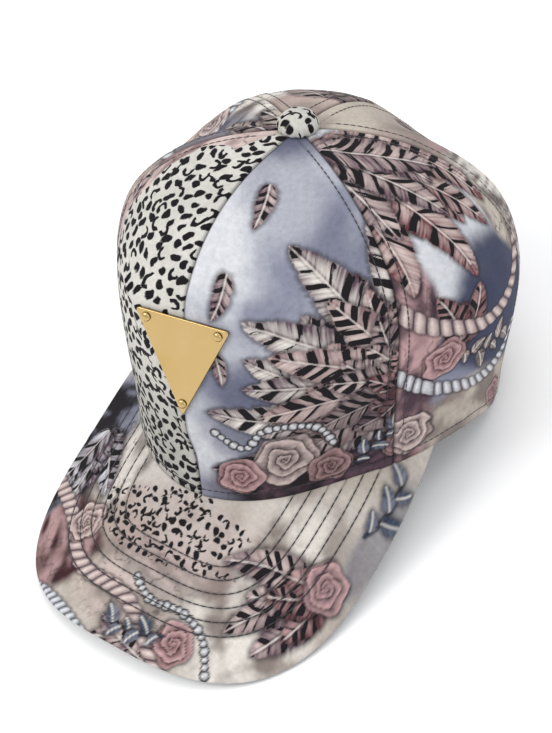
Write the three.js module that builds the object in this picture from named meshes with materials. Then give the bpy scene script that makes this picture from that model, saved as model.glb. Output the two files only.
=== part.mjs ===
// Six-panel snapback cap with a curved peak and a three-cornered metal badge.
// Millimetres, +Z up, the peak points to -Y, the wearer's left is +X.
// The cap is drawn with its rim level, then leaned back until the corners of the
// peak and the back of the rim stand on one level surface.
import * as THREE from 'three';

// Cloth and clearances
const CLOTH = 2;
const GAP = 0.3;

// Rim of the crown, an oval drawn in by the bent peak and pushed a little to one side
const RIM = { front: 89.5, back: 97, side: 81, pinch: 0.065, skew: 0.11 };

// Crown: height over the rim, how far it swells past the rim, and how square its
// profile is. Each row of the profile is level + front * cos(a) + side * cos(2a) + left * sin(a).
const CROWN_HEIGHT = 142;
const APEX_SHIFT = { x: -2.3, y: -1.6 };
const PROFILE = {
  swell: { level: 13.1, front: -2.8, side: -1.4, left: 3.7 },
  wall: { level: 2.5, front: 0.25, side: 0.1, left: 0 },
  roof: { level: 3.25, front: 0.9, side: -0.3, left: 0 },
};

// Soft dents in the cloth: where round the crown, how far up, and their depth and spread
const DENTS = [
  { name: 'right side panel', azimuth: -84, climb: 53, depth: 12, wide: 17, tall: 22 },
  { name: 'left back seam', azimuth: 161, climb: 55, depth: 8, wide: 22, tall: 19 },
];

// Panels between one seam and the next, by azimuth from the front
const PANELS = [
  { name: 'front_left_panel', from: 0, to: 62, colour: '#8f93a8' },
  { name: 'side_left_panel', from: 62, to: 122, colour: '#8d8088' },
  { name: 'back_left_panel', from: 122, to: 180, colour: '#a79d98' },
  { name: 'back_right_panel', from: 180, to: 240, colour: '#a79d98' },
  { name: 'side_right_panel', from: 240, to: 305, colour: '#9a8f92' },
  { name: 'front_right_panel', from: 305, to: 360, colour: '#cfc8bd' },
];
// Rows crowd towards the rim, where the wall stands steep, and end round the button's hole
const PANEL_GRID = { columns: 10, columnsBesideArch: 6, rows: 18, crowding: 1.6, topClimb: 89.2 };

// Arched opening over the strap at the back
const ARCH = { halfAngle: 24, height: 46, columns: 7 };

// Peak: a sheet that slopes down to the front and falls away to both sides
const PEAK = {
  thick: 3, slope: 0.47, droop: 0.0035, rootAngle: 77,
  halfWidth: 81.5, shoulder: 74, reach: 69, cornerX: 2.56, cornerY: 2.55,
  sideSwell: 1.5, crowding: 1.15, under: 0.4, columns: 36, rows: 8,
};

// Sweatband and snap strap inside the rim
const BAND = { thick: 1.2, height: 28, halfAngle: 147, inset: 0.8, columns: 60, rows: 4 };
const STRAP = { thick: 1.4, low: 3.5, high: 21.5, overlap: 6.5, inset: 0.5, columns: 20, rows: 2 };

// Covered button on the apex
const BUTTON = { radius: 9, height: 8.5, lip: 1.6, shank: 1.6, shankLength: 1.8, sides: 32, domeRows: 7 };

// Badge: an upside-down triangle of metal, with a rivet in each corner
const BADGE = {
  width: 44.5, height: 47.5, thick: 1.5, corner: 2.6, rise: 75,
  facing: 9, lean: 9, pressed: 1.2, clear: 0.5, easing: 13,
};
const RIVET = { head: 2.1, dome: 1.1, shank: 0.8, hole: 1.1, inset: 6.4, sides: 16, domeRows: 4 };

const RIGHT_ANGLE = Math.PI / 2;
const HALVINGS = 32;
const rad = THREE.MathUtils.degToRad;
const clamp = THREE.MathUtils.clamp;

// Evenly spaced numbers from low to high, both ends included
function evenly(low, high, steps) {
  return Array.from({ length: steps + 1 }, (_, i) => low + ((high - low) * i) / steps);
}

function smooth(t) {
  const u = clamp(t, 0, 1);
  return u * u * (3 - 2 * u);
}

function cloth(colour) {
  return new THREE.MeshStandardMaterial({ color: colour, roughness: 0.85, metalness: 0 });
}

function metal(colour) {
  return new THREE.MeshStandardMaterial({ color: colour, roughness: 0.22, metalness: 1 });
}

// Radius of the rim at azimuth a. Only the front half is pinched and skewed by the peak.
function rimRadius(a) {
  const ahead = Math.max(Math.cos(a), 0);
  const depth = Math.cos(a) > 0 ? RIM.front : RIM.back;
  const oval = 1 / Math.hypot(Math.sin(a) / RIM.side, Math.cos(a) / depth);
  const pinch = ahead > 0 ? RIM.pinch * Math.sin(2 * a) ** 2 : 0;
  return oval * (1 - pinch - RIM.skew * Math.sin(a) * ahead);
}

// Height of the peak's bent sheet at x and at a distance f ahead of the crown's middle
function peakHeight(x, f) {
  return -PEAK.slope * (f - RIM.front) - PEAK.droop * x * x;
}

// The rim follows the peak in front and runs level behind the ears
const LEVEL_BEHIND = { start: -0.45, span: 0.75 };
function rimHeight(a) {
  const r = rimRadius(a);
  const share = smooth((Math.cos(a) - LEVEL_BEHIND.start) / LEVEL_BEHIND.span);
  return share * peakHeight(r * Math.sin(a), r * Math.cos(a));
}

function mix(row, a) {
  return row.level + row.front * Math.cos(a) + row.side * Math.cos(2 * a) + row.left * Math.sin(a);
}

function dentDepth(a, climb) {
  let sum = 0;
  for (const dent of DENTS) {
    const around = a - rad(dent.azimuth);
    const away = Math.atan2(Math.sin(around), Math.cos(around)) / rad(dent.wide);
    const up = (climb - rad(dent.climb)) / rad(dent.tall);
    sum += dent.depth * Math.exp(-away * away - up * up);
  }
  return sum * (1 - (climb / RIGHT_ANGLE) ** 8);
}

// The crown as it would stand without the badge: a is the azimuth, climb runs from 0
// at the rim to a right angle at the button
const SWELL_CLIMB = 2.2;
function freeCrown(a, climb) {
  const rise = Math.sin(climb);
  const draw = Math.cos(climb);
  const swell = mix(PROFILE.swell, a) * Math.sin(Math.min(climb * SWELL_CLIMB, RIGHT_ANGLE));
  const dent = dentDepth(a, climb);
  const r = (rimRadius(a) + swell) * draw ** (2 / mix(PROFILE.wall, a)) - dent * draw;
  const z = CROWN_HEIGHT * rise ** (2 / mix(PROFILE.roof, a)) + rimHeight(a) * (1 - rise) - dent * rise;
  return new THREE.Vector3(
    r * Math.sin(a) + APEX_SHIFT.x * rise * rise,
    -r * Math.cos(a) + APEX_SHIFT.y * rise * rise,
    z,
  );
}

// How far up the climb a point of the crown lies at a given height
function climbAt(a, height) {
  let low = 0;
  let high = RIGHT_ANGLE;
  for (let step = 0; step < HALVINGS; step += 1) {
    const middle = (low + high) / 2;
    if (freeCrown(a, middle).z < height) low = middle;
    else high = middle;
  }
  return (low + high) / 2;
}

// Badge axes: x along its top edge, y up, z out of its face
const badgeOut = new THREE.Vector3(
  Math.sin(rad(BADGE.facing)) * Math.cos(rad(BADGE.lean)),
  -Math.cos(rad(BADGE.facing)) * Math.cos(rad(BADGE.lean)),
  Math.sin(rad(BADGE.lean)),
);
const badgeAcross = new THREE.Vector3(Math.cos(rad(BADGE.facing)), Math.sin(rad(BADGE.facing)), 0);
const badgeUp = badgeOut.clone().cross(badgeAcross);
const badgeSeat = freeCrown(0, climbAt(0, BADGE.rise)).addScaledVector(badgeOut, -BADGE.pressed);
const badgeMiddle = badgeSeat.clone().addScaledVector(badgeOut, BADGE.clear);

// The cloth behind the badge is pulled flat by the rivets, and eases off around it
function crownPoint(a, climb) {
  const point = freeCrown(a, climb);
  const offset = point.clone().sub(badgeSeat);
  const out = offset.dot(badgeOut);
  if (out < -BADGE.easing) return point;
  const x = Math.abs(offset.dot(badgeAcross));
  const y = offset.dot(badgeUp);
  const flank = new THREE.Vector2(BADGE.height, -BADGE.width / 2).normalize();
  const beyond = Math.max(y - BADGE.height / 2, x * flank.x + (y + BADGE.height / 2) * flank.y);
  const share = 1 - smooth(beyond / BADGE.easing);
  return point.addScaledVector(badgeOut, -out * share);
}

const NUDGE = 0.002;
function crownNormal(a, climb) {
  const low = Math.min(climb + NUDGE, RIGHT_ANGLE - NUDGE);
  const around = crownPoint(a + NUDGE, low).sub(crownPoint(a - NUDGE, low));
  const upward = crownPoint(a, low + NUDGE).sub(crownPoint(a, low - NUDGE));
  return around.cross(upward).normalize();
}

// A point of the crown sunk below its face
function crownSkin(a, climb, sunk) {
  return crownPoint(a, climb).addScaledVector(crownNormal(a, climb), -sunk);
}

// The same on a panel's cut edge, moved along the rim by slide. The edge is cut square
// to the rim, so two panels face each other across one even gap.
function crownEdge(a, climb, sunk, slide) {
  const along = new THREE.Vector3(Math.cos(a), Math.sin(a), 0);
  const normal = crownNormal(a, climb);
  const square = normal.addScaledVector(along, -normal.dot(along)).normalize();
  return crownPoint(a, climb).addScaledVector(square, -sunk).addScaledVector(along, slide);
}

// A closed wall between an outer and an inner grid of points. outer[i][j] and
// inner[i][j] share i along the wall and j up it, with the outer face seen
// anticlockwise as i and j grow.
function wallGeometry(outer, inner) {
  const columns = outer.length;
  const rows = outer[0].length;
  const positions = [];
  for (const grid of [outer, inner]) {
    for (const column of grid) {
      for (const point of column) positions.push(point.x, point.y, point.z);
    }
  }
  const at = (side, i, j) => (side * columns + i) * rows + j;
  const index = [];
  const quad = (p, q, r, s) => index.push(p, q, r, p, r, s);
  for (let i = 0; i + 1 < columns; i += 1) {
    for (let j = 0; j + 1 < rows; j += 1) {
      quad(at(0, i, j), at(0, i + 1, j), at(0, i + 1, j + 1), at(0, i, j + 1));
      quad(at(1, i, j), at(1, i, j + 1), at(1, i + 1, j + 1), at(1, i + 1, j));
    }
    quad(at(1, i, 0), at(1, i + 1, 0), at(0, i + 1, 0), at(0, i, 0));
    quad(at(0, i, rows - 1), at(0, i + 1, rows - 1), at(1, i + 1, rows - 1), at(1, i, rows - 1));
  }
  for (let j = 0; j + 1 < rows; j += 1) {
    quad(at(1, 0, j), at(0, 0, j), at(0, 0, j + 1), at(1, 0, j + 1));
    quad(at(0, columns - 1, j), at(1, columns - 1, j), at(1, columns - 1, j + 1), at(0, columns - 1, j + 1));
  }
  const geometry = new THREE.BufferGeometry();
  geometry.setAttribute('position', new THREE.Float32BufferAttribute(positions, 3));
  geometry.setIndex(index);
  geometry.computeVertexNormals();
  return geometry;
}

// Azimuths of a panel's columns. A back panel has its own columns round the arch,
// closer together where the arch stands steep.
function panelColumns(panel) {
  const from = rad(panel.from);
  const to = rad(panel.to);
  const half = rad(ARCH.halfAngle);
  const plain = PANEL_GRID.columnsBesideArch;
  const arched = evenly(0, RIGHT_ANGLE, ARCH.columns).map((turn) => half * Math.cos(turn));
  if (panel.to === 180) {
    return [...evenly(from, to - half, plain), ...arched.slice(1).map((away) => to - away)];
  }
  if (panel.from === 180) {
    return [...arched.map((away) => from + away).reverse(), ...evenly(from + half, to, plain).slice(1)];
  }
  return evenly(from, to, PANEL_GRID.columns);
}

// Height of the cloth's lower edge over the rim: nothing, or the arch at the back
function archHeight(a) {
  const away = Math.abs(a - Math.PI) / rad(ARCH.halfAngle);
  return away < 1 ? ARCH.height * Math.sqrt(1 - away * away) : 0;
}

function panelMesh(panel) {
  const columns = panelColumns(panel);
  const outer = [];
  const inner = [];
  columns.forEach((a, i) => {
    const edge = (i === 0 ? 1 : 0) - (i === columns.length - 1 ? 1 : 0);
    const slide = (edge * GAP) / 2;
    const lift = archHeight(a);
    const foot = lift > 0 ? climbAt(a, lift) : 0;
    const climbs = evenly(0, 1, PANEL_GRID.rows).map((share) => (
      foot + (rad(PANEL_GRID.topClimb) - foot) * share ** PANEL_GRID.crowding
    ));
    const skin = edge === 0 ? crownSkin : crownEdge;
    outer.push(climbs.map((climb) => skin(a, climb, 0, slide)));
    inner.push(climbs.map((climb) => skin(a, climb, CLOTH, slide)));
  });
  const mesh = new THREE.Mesh(wallGeometry(outer, inner), cloth(panel.colour));
  mesh.name = panel.name;
  return mesh;
}

// Outline of the peak at t from -1 to 1, ahead of the crown's middle by f
function peakOutline(t) {
  const turn = t * RIGHT_ANGLE;
  const side = Math.sign(t) * Math.abs(Math.sin(turn)) ** (2 / PEAK.cornerX);
  const ahead = Math.abs(Math.cos(turn)) ** (2 / PEAK.cornerY);
  const tip = RIM.front + PEAK.reach;
  return { x: PEAK.halfWidth * side, f: PEAK.shoulder + (tip - PEAK.shoulder) * ahead };
}

// Columns run across the peak and rows back from its outer edge to the rim. The last
// row tucks under the crown's cloth.
function peakMesh() {
  const top = [];
  const bottom = [];
  for (const t of evenly(-1, 1, PEAK.columns)) {
    const a = t * rad(PEAK.rootAngle);
    const rim = rimRadius(a);
    const root = { x: rim * Math.sin(a), f: rim * Math.cos(a) };
    const edge = peakOutline(Math.sign(t) * Math.abs(t) ** PEAK.crowding);
    const face = evenly(1, 0, PEAK.rows).map((share) => {
      const swell = PEAK.sideSwell * t ** 3 * 4 * share * (1 - share);
      const x = root.x + (edge.x - root.x) * share + swell;
      const f = root.f + (edge.f - root.f) * share;
      const z = share > 0 ? peakHeight(x, f) : rimHeight(a);
      return new THREE.Vector3(x, -f, z - PEAK.under);
    });
    const tuck = CLOTH / rim;
    face.push(new THREE.Vector3(root.x * (1 - tuck), -root.f * (1 - tuck), rimHeight(a) - PEAK.under));
    top.push(face);
    bottom.push(face.map((point) => {
      const down = new THREE.Vector3(-2 * PEAK.droop * point.x, PEAK.slope, -1).normalize();
      return point.clone().addScaledVector(down, PEAK.thick);
    }));
  }
  const mesh = new THREE.Mesh(wallGeometry(top, bottom), cloth('#a89c92'));
  mesh.name = 'peak';
  return mesh;
}

// A strip that lies inside the crown's cloth, between two azimuths. climbsAt gives the
// rows of climb at an azimuth, from its lower edge up.
function stripGeometry(from, to, columns, inset, thick, climbsAt) {
  const outer = [];
  const inner = [];
  for (const a of evenly(from, to, columns)) {
    const climbs = climbsAt(a);
    outer.push(climbs.map((climb) => crownSkin(a, climb, CLOTH + inset)));
    inner.push(climbs.map((climb) => crownSkin(a, climb, CLOTH + inset + thick)));
  }
  return wallGeometry(outer, inner);
}

function bandMesh() {
  const half = rad(BAND.halfAngle);
  const climbsAt = (a) => {
    const upper = evenly(BAND.height / BAND.rows, BAND.height, BAND.rows - 1);
    return [0, ...upper.map((height) => climbAt(a, rimHeight(a) + height))];
  };
  const geometry = stripGeometry(-half, half, BAND.columns, BAND.inset, BAND.thick, climbsAt);
  const mesh = new THREE.Mesh(geometry, cloth('#26252b'));
  mesh.name = 'sweatband';
  return mesh;
}

function strapMesh() {
  const half = rad(ARCH.halfAngle + STRAP.overlap);
  const climbsAt = (a) => evenly(STRAP.low, STRAP.high, STRAP.rows).map((height) => climbAt(a, height));
  const ends = [Math.PI - half, Math.PI + half];
  const geometry = stripGeometry(...ends, STRAP.columns, STRAP.inset, STRAP.thick, climbsAt);
  const material = new THREE.MeshStandardMaterial({ color: '#1b1b1f', roughness: 0.45, metalness: 0 });
  const mesh = new THREE.Mesh(geometry, material);
  mesh.name = 'snap_strap';
  return mesh;
}

// A turned solid from a profile of [radius, height] rows that starts and ends on the axis
function turned(profile, sides) {
  const points = profile.map(([r, z]) => new THREE.Vector2(r, z));
  const geometry = new THREE.LatheGeometry(points, sides);
  geometry.rotateX(RIGHT_ANGLE);
  return geometry;
}

// Rows of a dome from its edge up to the axis
function dome(radius, foot, height, steps) {
  return evenly(0, RIGHT_ANGLE, steps).map((turn, i) => (
    [i === steps ? 0 : radius * Math.cos(turn), foot + height * Math.sin(turn)]
  ));
}

function buttonMesh() {
  const profile = [
    [0, -BUTTON.shankLength],
    [BUTTON.shank, -BUTTON.shankLength],
    [BUTTON.shank, 0],
    [BUTTON.radius - BUTTON.lip / 2, 0],
    ...dome(BUTTON.radius, BUTTON.lip, BUTTON.height - BUTTON.lip, BUTTON.domeRows),
  ];
  const mesh = new THREE.Mesh(turned(profile, BUTTON.sides), cloth('#d8d2c6'));
  mesh.name = 'button';
  mesh.position.set(APEX_SHIFT.x, APEX_SHIFT.y, CROWN_HEIGHT + GAP);
  return mesh;
}

// Corners of the badge, in its own plane
const badgeCorners = [
  new THREE.Vector2(-BADGE.width / 2, BADGE.height / 2),
  new THREE.Vector2(0, -BADGE.height / 2),
  new THREE.Vector2(BADGE.width / 2, BADGE.height / 2),
];

// A point inset from a corner, on the line that halves its angle
function insideCorner(i, inset) {
  const corner = badgeCorners[i];
  const before = badgeCorners[(i + 2) % 3].clone().sub(corner).normalize();
  const after = badgeCorners[(i + 1) % 3].clone().sub(corner).normalize();
  return corner.clone().addScaledVector(before.add(after).normalize(), inset);
}

const rivetPlaces = badgeCorners.map((_, i) => insideCorner(i, RIVET.inset));

function badgeMesh() {
  const shape = new THREE.Shape();
  badgeCorners.forEach((corner, i) => {
    const before = badgeCorners[(i + 2) % 3].clone().sub(corner).normalize();
    const after = badgeCorners[(i + 1) % 3].clone().sub(corner).normalize();
    const start = corner.clone().addScaledVector(before, BADGE.corner);
    const end = corner.clone().addScaledVector(after, BADGE.corner);
    if (i === 0) shape.moveTo(start.x, start.y);
    else shape.lineTo(start.x, start.y);
    shape.quadraticCurveTo(corner.x, corner.y, end.x, end.y);
  });
  shape.closePath();
  for (const place of rivetPlaces) {
    const hole = new THREE.Path();
    hole.absarc(place.x, place.y, RIVET.hole, 0, 2 * Math.PI, true);
    shape.holes.push(hole);
  }
  const geometry = new THREE.ExtrudeGeometry(shape, {
    depth: BADGE.thick,
    bevelEnabled: false,
    curveSegments: 6,
  });
  const mesh = new THREE.Mesh(geometry, metal('#d9b15c'));
  mesh.name = 'badge_plate';
  return mesh;
}

function rivetMesh(place, name) {
  const seat = BADGE.thick + GAP;
  const profile = [
    [0, 0],
    [RIVET.shank, 0],
    [RIVET.shank, seat],
    ...dome(RIVET.head, seat, RIVET.dome, RIVET.domeRows),
  ];
  const mesh = new THREE.Mesh(turned(profile, RIVET.sides), metal('#e3c27c'));
  mesh.name = name;
  mesh.position.set(place.x, place.y, 0);
  return mesh;
}

const badge = new THREE.Group();
badge.add(badgeMesh());
const rivetNames = ['rivet_upper_right', 'rivet_lower', 'rivet_upper_left'];
rivetPlaces.forEach((place, i) => badge.add(rivetMesh(place, rivetNames[i])));
badge.quaternion.setFromRotationMatrix(new THREE.Matrix4().makeBasis(badgeAcross, badgeUp, badgeOut));
badge.position.copy(badgeMiddle);

const cap = new THREE.Group();
for (const panel of PANELS) cap.add(panelMesh(panel));
cap.add(peakMesh(), bandMesh(), strapMesh(), buttonMesh(), badge);

// Lowest point of the cap's meshes that pass a test, once leaned back by an angle
function lowest(angle, names) {
  cap.rotation.x = angle;
  cap.updateMatrixWorld(true);
  let low = Infinity;
  const point = new THREE.Vector3();
  for (const mesh of cap.children.filter((child) => names.includes(child.name))) {
    const positions = mesh.geometry.getAttribute('position');
    for (let i = 0; i < positions.count; i += 1) {
      low = Math.min(low, point.fromBufferAttribute(positions, i).applyMatrix4(mesh.matrixWorld).z);
    }
  }
  return low;
}

// Lean the cap back until the peak and the back of the rim reach the same level
const BACK_PANELS = ['back_left_panel', 'back_right_panel'];
const MOST_LEAN = 40;
let leanLess = 0;
let leanMore = rad(MOST_LEAN);
for (let step = 0; step < HALVINGS; step += 1) {
  const middle = (leanLess + leanMore) / 2;
  if (lowest(-middle, ['peak']) < lowest(-middle, BACK_PANELS)) leanLess = middle;
  else leanMore = middle;
}
const restLean = (leanLess + leanMore) / 2;
const floorLevel = lowest(-restLean, ['peak', ...BACK_PANELS]);
cap.position.z = -floorLevel;

// Bring the middle of the whole cap's box over the origin
const model = new THREE.Group();
model.add(cap);
model.updateMatrixWorld(true);
const box = new THREE.Box3().setFromObject(model, true);
cap.position.x -= (box.min.x + box.max.x) / 2;
cap.position.y -= (box.min.y + box.max.y) / 2;

export default model;
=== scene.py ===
# Printed six-panel snapback cap: the looks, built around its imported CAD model.
# The crown's rule is worked in millimetres with the rim level, as the part's source has
# it, and each finished mesh is leaned back to rest and turned to metres.
import math
import bpy
import numpy as np
from mathutils import Matrix, Vector


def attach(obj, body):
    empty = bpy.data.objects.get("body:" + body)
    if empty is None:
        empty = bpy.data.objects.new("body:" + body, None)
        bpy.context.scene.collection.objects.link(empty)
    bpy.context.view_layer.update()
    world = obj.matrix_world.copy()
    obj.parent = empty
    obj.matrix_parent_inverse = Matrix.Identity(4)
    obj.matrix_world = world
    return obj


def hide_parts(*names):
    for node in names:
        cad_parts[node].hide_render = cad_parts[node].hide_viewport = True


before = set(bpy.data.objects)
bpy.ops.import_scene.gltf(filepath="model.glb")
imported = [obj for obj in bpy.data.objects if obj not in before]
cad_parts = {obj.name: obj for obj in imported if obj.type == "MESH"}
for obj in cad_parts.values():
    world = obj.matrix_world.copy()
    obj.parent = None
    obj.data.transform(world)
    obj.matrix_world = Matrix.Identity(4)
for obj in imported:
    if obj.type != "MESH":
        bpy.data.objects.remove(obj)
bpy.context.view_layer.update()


# The crown: six panels of printed twill on a stiffener, cut as tall petals and sewn edge
# to edge, with the seam allowances pressed flat inside. The seams and the rim leave a
# shallow valley, and each row of topstitching draws the cloth in a little.
RIM_FRONT = 89.5
RIM_BACK = 97.0
RIM_SIDE = 81.0
RIM_PINCH = 0.065
RIM_SKEW = 0.11
RIM_CURVE_FROM = -0.45
RIM_CURVE_SPAN = 0.75
CROWN_HEIGHT = 142.0
APEX_SHIFT = (-2.3, -1.6)
# Rows of four: all round, more in front, more at front and back alike, more at the left
SWELL = (13.1, -2.8, -1.4, 3.7)
WALL_POWER = (2.5, 0.25, 0.1, 0.0)
ROOF_POWER = (3.25, 0.9, -0.3, 0.0)
SWELL_CLIMB = 2.2
# Where round the crown, how far up, how deep in mm, how wide and how tall, in degrees
DENTS = ((-84, 53, 12.0, 17, 22), (161, 55, 8.0, 22, 19))
PEAK_SLOPE = 0.47
PEAK_DROOP = 0.0035
BADGE_WIDTH = 44.5
BADGE_HEIGHT = 47.5
BADGE_RISE = 75.0
BADGE_TURN = math.radians(9)
BADGE_PRESSED = 1.2
BADGE_CLEAR = 0.5
BADGE_EASING = 13.0


def smooth(share):
    share = np.clip(share, 0.0, 1.0)
    return share * share * (3.0 - 2.0 * share)


def ridge(distance, spread):
    return np.exp(-((distance / spread) ** 2))


def rim_radius(turn):
    ahead = np.maximum(np.cos(turn), 0.0)
    depth = np.where(np.cos(turn) > 0.0, RIM_FRONT, RIM_BACK)
    oval = 1.0 / np.hypot(np.sin(turn) / RIM_SIDE, np.cos(turn) / depth)
    pinch = np.where(ahead > 0.0, RIM_PINCH * np.sin(2.0 * turn) ** 2, 0.0)
    return oval * (1.0 - pinch - RIM_SKEW * np.sin(turn) * ahead)


def peak_height(across, ahead):
    return -PEAK_SLOPE * (ahead - RIM_FRONT) - PEAK_DROOP * across * across


def rim_height(turn):
    radius = rim_radius(turn)
    share = smooth((np.cos(turn) - RIM_CURVE_FROM) / RIM_CURVE_SPAN)
    return share * peak_height(radius * np.sin(turn), radius * np.cos(turn))


def around(row, turn):
    level, front, ends, left = row
    return level + front * np.cos(turn) + ends * np.cos(2.0 * turn) + left * np.sin(turn)


def dent_depth(turn, climb):
    depth = 0.0
    for where, height, deep, wide, tall in DENTS:
        away = turn - math.radians(where)
        away = np.arctan2(np.sin(away), np.cos(away)) / math.radians(wide)
        up = (climb - math.radians(height)) / math.radians(tall)
        depth = depth + deep * np.exp(-away * away - up * up)
    return depth * (1.0 - (climb / (math.pi / 2)) ** 8)


def free_crown(turn, climb):
    rise = np.sin(climb)
    draw = np.maximum(np.cos(climb), 0.0)
    swell = around(SWELL, turn) * np.sin(np.minimum(climb * SWELL_CLIMB, math.pi / 2))
    dent = dent_depth(turn, climb)
    radius = (rim_radius(turn) + swell) * draw ** (2.0 / around(WALL_POWER, turn)) - dent * draw
    height = CROWN_HEIGHT * rise ** (2.0 / around(ROOF_POWER, turn)) - dent * rise
    height = height + rim_height(turn) * (1.0 - rise)
    x = radius * np.sin(turn) + APEX_SHIFT[0] * rise * rise
    y = -radius * np.cos(turn) + APEX_SHIFT[1] * rise * rise
    return np.stack(np.broadcast_arrays(x, y, height), axis=-1)


def climb_at(turn, height):
    low = np.zeros(np.broadcast(turn, height).shape)
    high = low + math.pi / 2
    for _ in range(32):
        middle = (low + high) / 2
        under = free_crown(turn, middle)[..., 2] < height
        low = np.where(under, middle, low)
        high = np.where(under, high, middle)
    return (low + high) / 2


badge_out = np.array([
    math.sin(BADGE_TURN) * math.cos(BADGE_TURN),
    -math.cos(BADGE_TURN) * math.cos(BADGE_TURN),
    math.sin(BADGE_TURN),
])
badge_across = np.array([math.cos(BADGE_TURN), math.sin(BADGE_TURN), 0.0])
badge_up = np.cross(badge_out, badge_across)
front_seam = np.array(0.0)
badge_seat = free_crown(front_seam, climb_at(front_seam, BADGE_RISE)) - BADGE_PRESSED * badge_out


def behind_badge(points):
    offset = points - badge_seat
    across = np.abs(offset @ badge_across)
    up = offset @ badge_up
    flank = np.array([BADGE_HEIGHT, -BADGE_WIDTH / 2])
    flank = flank / np.linalg.norm(flank)
    beside = across * flank[0] + (up + BADGE_HEIGHT / 2) * flank[1]
    beyond = np.maximum(up - BADGE_HEIGHT / 2, beside)
    share = 1.0 - smooth(beyond / BADGE_EASING)
    return np.where(offset @ badge_out < -BADGE_EASING, 0.0, share)


def crown_point(turn, climb):
    points = free_crown(turn, climb)
    out = (points - badge_seat) @ badge_out
    return points - (out * behind_badge(points))[..., None] * badge_out


def crown_normal(turn, climb):
    nudge = 0.002
    low = np.minimum(climb + nudge, math.pi / 2 - nudge)
    along = crown_point(turn + nudge, low) - crown_point(turn - nudge, low)
    upward = crown_point(turn, low + nudge) - crown_point(turn, low - nudge)
    normal = np.cross(along, upward)
    return normal / np.linalg.norm(normal, axis=-1, keepdims=True)


def from_apex(points):
    return np.hypot(points[..., 0] - APEX_SHIFT[0], points[..., 1] - APEX_SHIFT[1])


def value_noise(x, y, size, seed):
    def corner(column, row):
        mixed = np.sin(column * 127.1 + row * 311.7 + seed * 74.7) * 43758.5453
        return mixed - np.floor(mixed)

    column = np.floor(x / size)
    row = np.floor(y / size)
    across = smooth(x / size - column)
    up = smooth(y / size - row)
    low = corner(column, row) * (1 - across) + corner(column + 1, row) * across
    high = corner(column, row + 1) * (1 - across) + corner(column + 1, row + 1) * across
    return 2.0 * (low * (1 - up) + high * up) - 1.0


def mottle(x, y, size, seed, layers=4):
    total = 0.0
    weight = 0.0
    for layer in range(layers):
        share = 0.5 ** layer
        total = total + share * value_noise(x, y, size * share, seed + 13 * layer)
        weight += share
    return total / weight


# Relief of the sewn cloth. Its lengths are in mm and its angles in radians.
SEAMS = np.radians([0.0, 62.0, 122.0, 180.0, 240.0, 305.0])
TOPSTITCH = np.array([0.0, 4.2, 4.2, 5.4, 4.2, 4.2])
ALLOWANCE = 5.6
ALLOWANCE_LIFT = 0.32
SEAM_VALLEY = 1.0
THREAD_DRAW = 0.24
THREAD_PUCKER = 0.10
RIM_STITCH = 4.0
RIM_DRAW = 0.26
RIM_PUCKER = 0.16
THREAD_SPREAD = 0.6
SOFT_WAVES = 0.75
CREASE_AT = math.radians(72)
CREASE_DEEP = 1.3
CREASE_FOLD = 1.1
MEAN_RADIUS = 78.0


def seam_distance(turn, radius):
    away = turn[..., None] - SEAMS
    away = np.abs(np.arctan2(np.sin(away), np.cos(away))) * radius[..., None]
    nearest = np.argmin(away, axis=-1)
    return np.take_along_axis(away, nearest[..., None], axis=-1)[..., 0], TOPSTITCH[nearest]


def crown_relief(turn, climb):
    points = free_crown(turn, climb)
    radius = from_apex(points)
    beside, stitch = seam_distance(turn, radius)
    above = points[..., 2] - rim_height(turn)
    relief = ALLOWANCE_LIFT * (1.0 - smooth((beside - ALLOWANCE) / 1.6))
    relief = relief - SEAM_VALLEY * ridge(beside, 0.75)
    pucker = THREAD_PUCKER * value_noise(above, turn * 40.0, 5.0, 3) * ridge(beside - stitch, 2.5)
    drawn = pucker - THREAD_DRAW * ridge(beside - stitch, THREAD_SPREAD)
    relief = relief + np.where((stitch > 0.0) & (above > 2.0), drawn, 0.0)
    pucker = RIM_PUCKER * value_noise(turn * 90.0, above, 6.0, 5) * ridge(above - RIM_STITCH, 3.5)
    relief = relief + pucker - RIM_DRAW * ridge(above - RIM_STITCH, THREAD_SPREAD)
    from_front = np.abs(np.arctan2(np.sin(turn), np.cos(turn)))
    unstiffened = 0.25 + 0.75 * smooth((from_front - 0.9) / 0.5)
    relief = relief + unstiffened * SOFT_WAVES * mottle(turn * 85.0, climb * 100.0, 34.0, 11, 3)
    crease = (turn - CREASE_AT) * MEAN_RADIUS + 0.10 * (above - 34.0)
    reach = smooth((above - 3.0) / 8.0) * (1.0 - smooth((above - 38.0) / 26.0))
    folded = CREASE_FOLD * ridge(crease - 2.6, 3.0) - CREASE_DEEP * ridge(crease, 1.9)
    relief = (relief + reach * folded) * smooth(radius / 16.0) * (1.0 - 0.92 * behind_badge(points))
    return relief * smooth((math.pi / 2 - climb) / 0.05)


# The print: a busy pattern of clouds, barred plumes, roses, leaves, cords and beads beside
# plain leopard spots, dyed into the cloth, with a few patches of painted shade laid over it.
# Each motif is a rule that lays colour over what is under it, and black ink is kept apart as
# a distance to its edge, so it stays crisp.
def dye(code):
    shares = np.array([int(code[i:i + 2], 16) for i in (1, 3, 5)]) / 255.0
    return np.where(shares > 0.04045, ((shares + 0.055) / 1.055) ** 2.4, shares / 12.92)


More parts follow.
